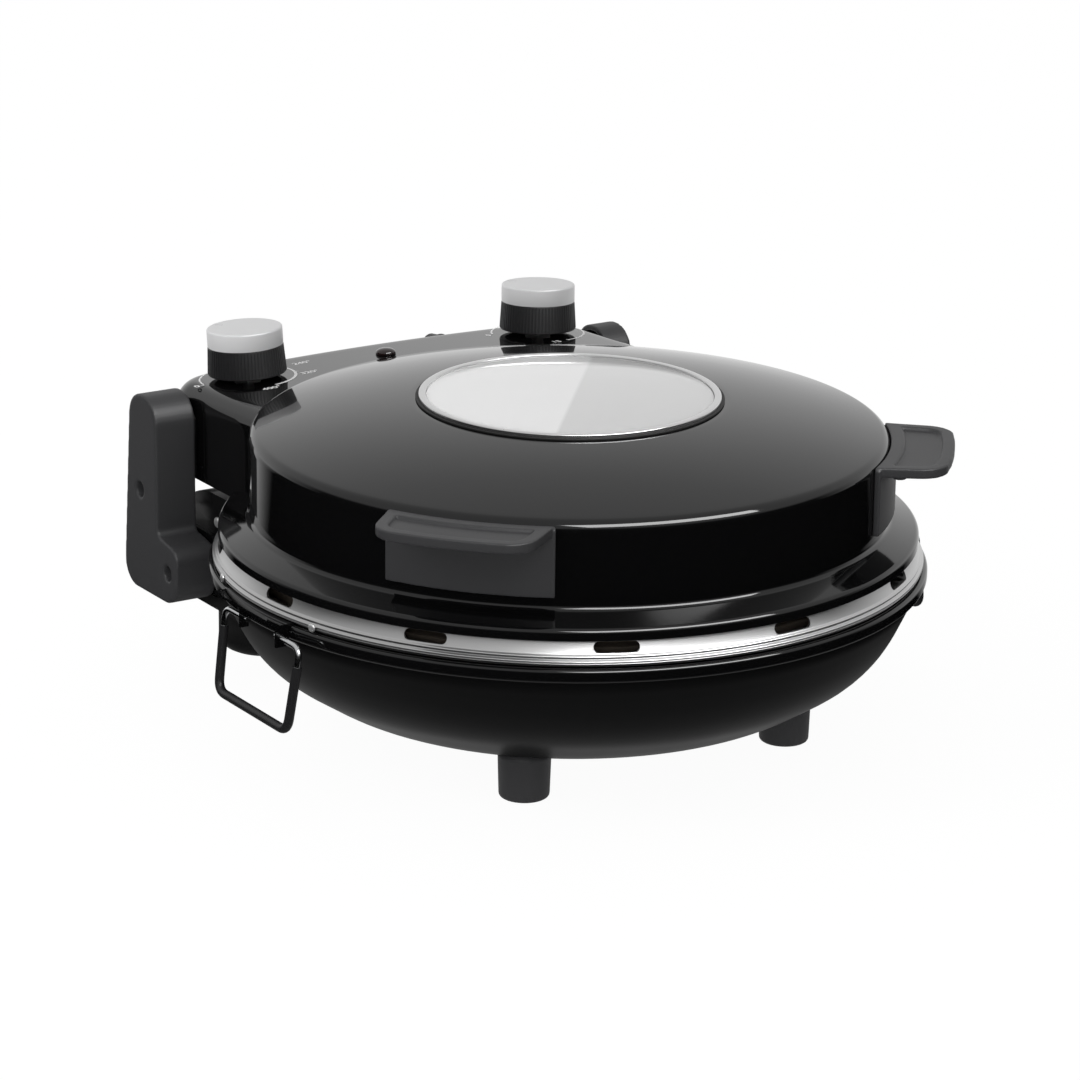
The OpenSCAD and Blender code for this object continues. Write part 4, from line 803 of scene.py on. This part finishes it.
def printed(name, outlines):
    """Flat marks given as strips of plan points, laid just above the crowned top."""
    points, faces = [], []
    for strip in outlines:
        base = len(points)
        for x, y in strip:
            points.append((x * 0.001, (y + AXIS_Y) * 0.001, (box_top(x, y) + MARK_LIFT + RIM_Z) * 0.001))
        faces += [(base + i, base + i + 1, base + i + 3, base + i + 2) for i in range(0, len(strip) - 2, 2)]
    mesh = bpy.data.meshes.new(name)
    mesh.from_pydata(points, [], faces)
    shape = bmesh.new()
    shape.from_mesh(mesh)
    for face in shape.faces:
        if face.normal.z < 0:
            face.normal_flip()
    shape.to_mesh(mesh)
    shape.free()
    return made_object(name, mesh, print_white, "lid", "cap_silver")


def arc_strip(cx, cy, a0, a1, wide, n=60):
    strip = []
    for i in range(n + 1):
        a = math.radians(a0 + (a1 - a0) * i / n)
        w = wide(i / n) / 2
        for r in (MARK_R - w, MARK_R + w):
            strip.append((cx + r * math.cos(a), cy + r * math.sin(a)))
    return strip


def tick(cx, cy, a, r0, r1, wide=0.7):
    c, s = math.cos(math.radians(a)), math.sin(math.radians(a))
    return [(cx + r * c - w * s, cy + r * s + w * c) for r in (r0, r1) for w in (-wide / 2, wide / 2)]


printed("temperature_scale", [arc_strip(-KNOB_X, KNOB_Y, 176, -84, lambda t: 0.8 + 0.9 * t),
                              tick(-KNOB_X, KNOB_Y, 178, MARK_R, MARK_R + 2.2),
                              tick(-KNOB_X, KNOB_Y, 18, MARK_R, MARK_R + 2.2),
                              tick(-KNOB_X, KNOB_Y, -16, MARK_R, MARK_R + 2.2)])
printed("time_scale", [arc_strip(KNOB_X, KNOB_Y, 160, -82, lambda t: 1.0),
                       tick(KNOB_X, KNOB_Y, -82, MARK_R - 1.4, MARK_R + 1.4)])


def number(name, text, x, y, height=5.6):
    curve = bpy.data.curves.new(name, "FONT")
    curve.body, curve.size, curve.align_x, curve.align_y = text, height, "CENTER", "CENTER"
    curve.resolution_u, curve.offset = 3, 0.16
    work = bpy.data.objects.new("work", curve)
    bpy.context.scene.collection.objects.link(work)
    mesh = bpy.data.meshes.new_from_object(work.evaluated_get(bpy.context.evaluated_depsgraph_get()))
    bpy.data.objects.remove(work)
    for v in mesh.vertices:
        px, py = x + v.co.x, y + v.co.y
        v.co = (px * 0.001, (py + AXIS_Y) * 0.001, (box_top(px, py) + MARK_LIFT + RIM_Z) * 0.001)
    return made_object(name, mesh, print_white, "lid", "cap_silver")


for name, text, x, y in (("mark_t0", "0", -KNOB_X - 28.6, KNOB_Y + 1), ("mark_t240", "240°", -KNOB_X + 36, KNOB_Y + 7.5),
                         ("mark_t320", "320°", -KNOB_X + 29, KNOB_Y - 13), ("mark_t400", "400°", -KNOB_X - 2, KNOB_Y - 29),
                         ("mark_m0", "0", KNOB_X - 26.5, KNOB_Y + 6.5), ("mark_m15", "15", KNOB_X - 4.4, KNOB_Y - 25.5)):
    number(name, text, x, y)

# Lid handles: moulded plates curved to the wall, each with a dished shelf for the fingers.
for name in ("left_handle", "right_handle"):
    voxelled(name, charcoal, "lid", "charcoal_plastic", voxel=0.6, passes=5)

# Knobs: a ribbed black skirt that hides the nut, and a satin silver cap with a pointer notch.
KNOB_R, KNOB_FLARE, KNOB_H, KNOB_GAP, CAP_H, POINTER_TURN = 19.3, 0.9, 14.6, 2.6, 9.2, 32.0
RIBS = 72
silver = finish("cap_silver", (0.70, 0.70, 0.705), 0.42, 3200, 0.01, cloud=0.08, metal=0.10)
crown_angle = math.asin(KNOB_X / CROWN_R)
for side, dial in ((-1, "temperature"), (1, "timer")):
    body = dial + "_dial"
    put = (Matrix.Translation((side * KNOB_X, KNOB_Y + AXIS_Y, BOX_TOP + RIM_Z))
           @ Matrix.Rotation(side * crown_angle, 4, "Y") @ Matrix.Rotation(-BOX_TILT, 4, "X"))
    foot, top = KNOB_R + KNOB_FLARE, KNOB_R
    skirt = [(foot - 0.5, KNOB_GAP), (foot - 0.15, KNOB_GAP + 0.4), (top - 0.1, KNOB_GAP + KNOB_H - 0.3),
             (top - 0.2, KNOB_GAP + KNOB_H), (0.01, KNOB_GAP + KNOB_H), (0.01, KNOB_GAP + KNOB_H - 2.5),
             (KNOB_R - 2.2, KNOB_GAP + KNOB_H - 3), (KNOB_R - 2.0, KNOB_GAP)]
    lathe(dial + "_skirt", skirt, black_plastic, body, "black_plastic", dial + "_knob", steps=160, matrix=put, sharp=40)
    turn_only, rib_places = put.to_3x3(), []
    for i in range(RIBS):
        a = 2 * math.pi * i / RIBS
        out = Vector((math.cos(a), math.sin(a), 0))
        middle = put @ (out * (KNOB_R + KNOB_FLARE / 2 - 0.12) + Vector((0, 0, KNOB_GAP + KNOB_H / 2)))
        rib_places.append((middle, turn_only @ (out + Vector((0, 0, KNOB_FLARE / KNOB_H))),
                           turn_only @ (Vector((0, 0, 1)) - out * (KNOB_FLARE / KNOB_H))))
    half = KNOB_H / 2 - 0.7
    rib = prism([(-0.5, -0.2), (0.5, -0.2), (0.4, 0.06), (0.16, 0.17), (-0.16, 0.17), (-0.4, 0.06)], -half, half)
    rib = ([(z, x, y) for x, y, z in rib[0]], rib[1])
    made_object(dial + "_ribs", set_out(dial + "_ribs", *rib, rib_places, black_plastic), black_plastic, body,
                "black_plastic", dial + "_knob")
    low, high = KNOB_GAP + KNOB_H, KNOB_GAP + KNOB_H + CAP_H
    crown = lathe(dial + "_crown", [(0, low), (KNOB_R - 0.15, low)] + [(KNOB_R, low + 0.2)]
                  + arc(KNOB_R - 1.1, high - 1.1, 1.1, 0, 90, 8) + [(0, high)],
                  silver, body, "cap_silver", dial + "_cap", steps=160, closed=False, matrix=put, sharp=40)
    notch = bmesh.new()
    bmesh.ops.create_cube(notch, size=1)
    at_notch = put @ Matrix.Rotation(math.radians(POINTER_TURN), 4, "Z") @ Matrix.Translation((0, KNOB_R - 4, high))
    for v in notch.verts:
        v.co = (at_notch @ Vector((v.co.x * 1.6, v.co.y * 5, v.co.z))) * 0.001
    notch_mesh = bpy.data.meshes.new("notch")
    notch.to_mesh(notch_mesh)
    notch.free()
    cut(crown, notch_mesh, sharp=40)

# Carrying bails: bright bent wire whose hooks turn in the brackets, with a black sleeve on the
# legs and the bar. They hang leaning a little off the bowl.
WIRE_R, SLEEVE_WALL, BAIL_X, BAIL_FRONT, BAIL_Z = 1.6, 0.7, 178.9, 12.0, -6.6
BAIL_W, BAIL_LOW_W, BAIL_L, BAIL_LEAN, HOOK_X = 72.0, 67.0, 41.0, math.radians(8), 13.6
bright_wire = finish("bright_wire", (0.66, 0.67, 0.68), 0.16, 600, 0.006, cloud=0.1, metal=1.0)


def rod(name, line, radius, material, body, slot, *replaced, sides=20):
    """A round rod along a line of points in metres, with flat ends."""
    line = [Vector(p) for p in line]
    points, faces, side = [], [], None
    for i, p in enumerate(line):
        ahead = (line[min(i + 1, len(line) - 1)] - line[max(i - 1, 0)]).normalized()
        side = Vector((1, 0, 0)) if side is None else side
        side = (side - ahead * side.dot(ahead)).normalized()
        up = ahead.cross(side)
        for k in range(sides):
            a = 2 * math.pi * k / sides
            points.append(p + (side * math.cos(a) + up * math.sin(a)) * radius * 0.001)
    for i in range(len(line) - 1):
        for k in range(sides):
            m = (k + 1) % sides
            faces.append((i * sides + k, i * sides + m, (i + 1) * sides + m, (i + 1) * sides + k))
    faces += [tuple(range(sides))[::-1], tuple((len(line) - 1) * sides + k for k in range(sides))]
    mesh = bpy.data.meshes.new(name)
    mesh.from_pydata(points, [], faces)
    return made_object(name, tidied(mesh, 50), material, body, slot, *replaced)


for side, label in ((-1, "left"), (1, "right")):
    def hung(across_bail, down):
        """A point of the bail's own plane, at rest."""
        return (side * (BAIL_X + down * math.sin(BAIL_LEAN)) * 0.001, (AXIS_Y - BAIL_FRONT + across_bail) * 0.001,
                (RIM_Z + BAIL_Z - down * math.cos(BAIL_LEAN)) * 0.001)

    wire = [hung(HOOK_X, 0), hung(BAIL_W / 2, 0), hung(BAIL_LOW_W / 2, BAIL_L), hung(-BAIL_LOW_W / 2, BAIL_L),
            hung(-BAIL_W / 2, 0), hung(-HOOK_X, 0)]
    rod(label + "_wire", blended(wire, [0, 0.006, 0.007, 0.007, 0.006, 0], n=8, closed=False), WIRE_R,
        bright_wire, label + "_bail", "bright_wire", label + "_bail_wire")
    start = Vector(wire[1]) + (Vector(wire[2]) - Vector(wire[1])).normalized() * 0.009
    end = Vector(wire[4]) + (Vector(wire[3]) - Vector(wire[4])).normalized() * 0.009
    rod(label + "_sleeve", blended([start, wire[2], wire[3], end], [0, 0.007, 0.007, 0], n=8, closed=False),
        WIRE_R + SLEEVE_WALL, black_plastic, label + "_bail", "black_plastic", label + "_bail_sleeve")
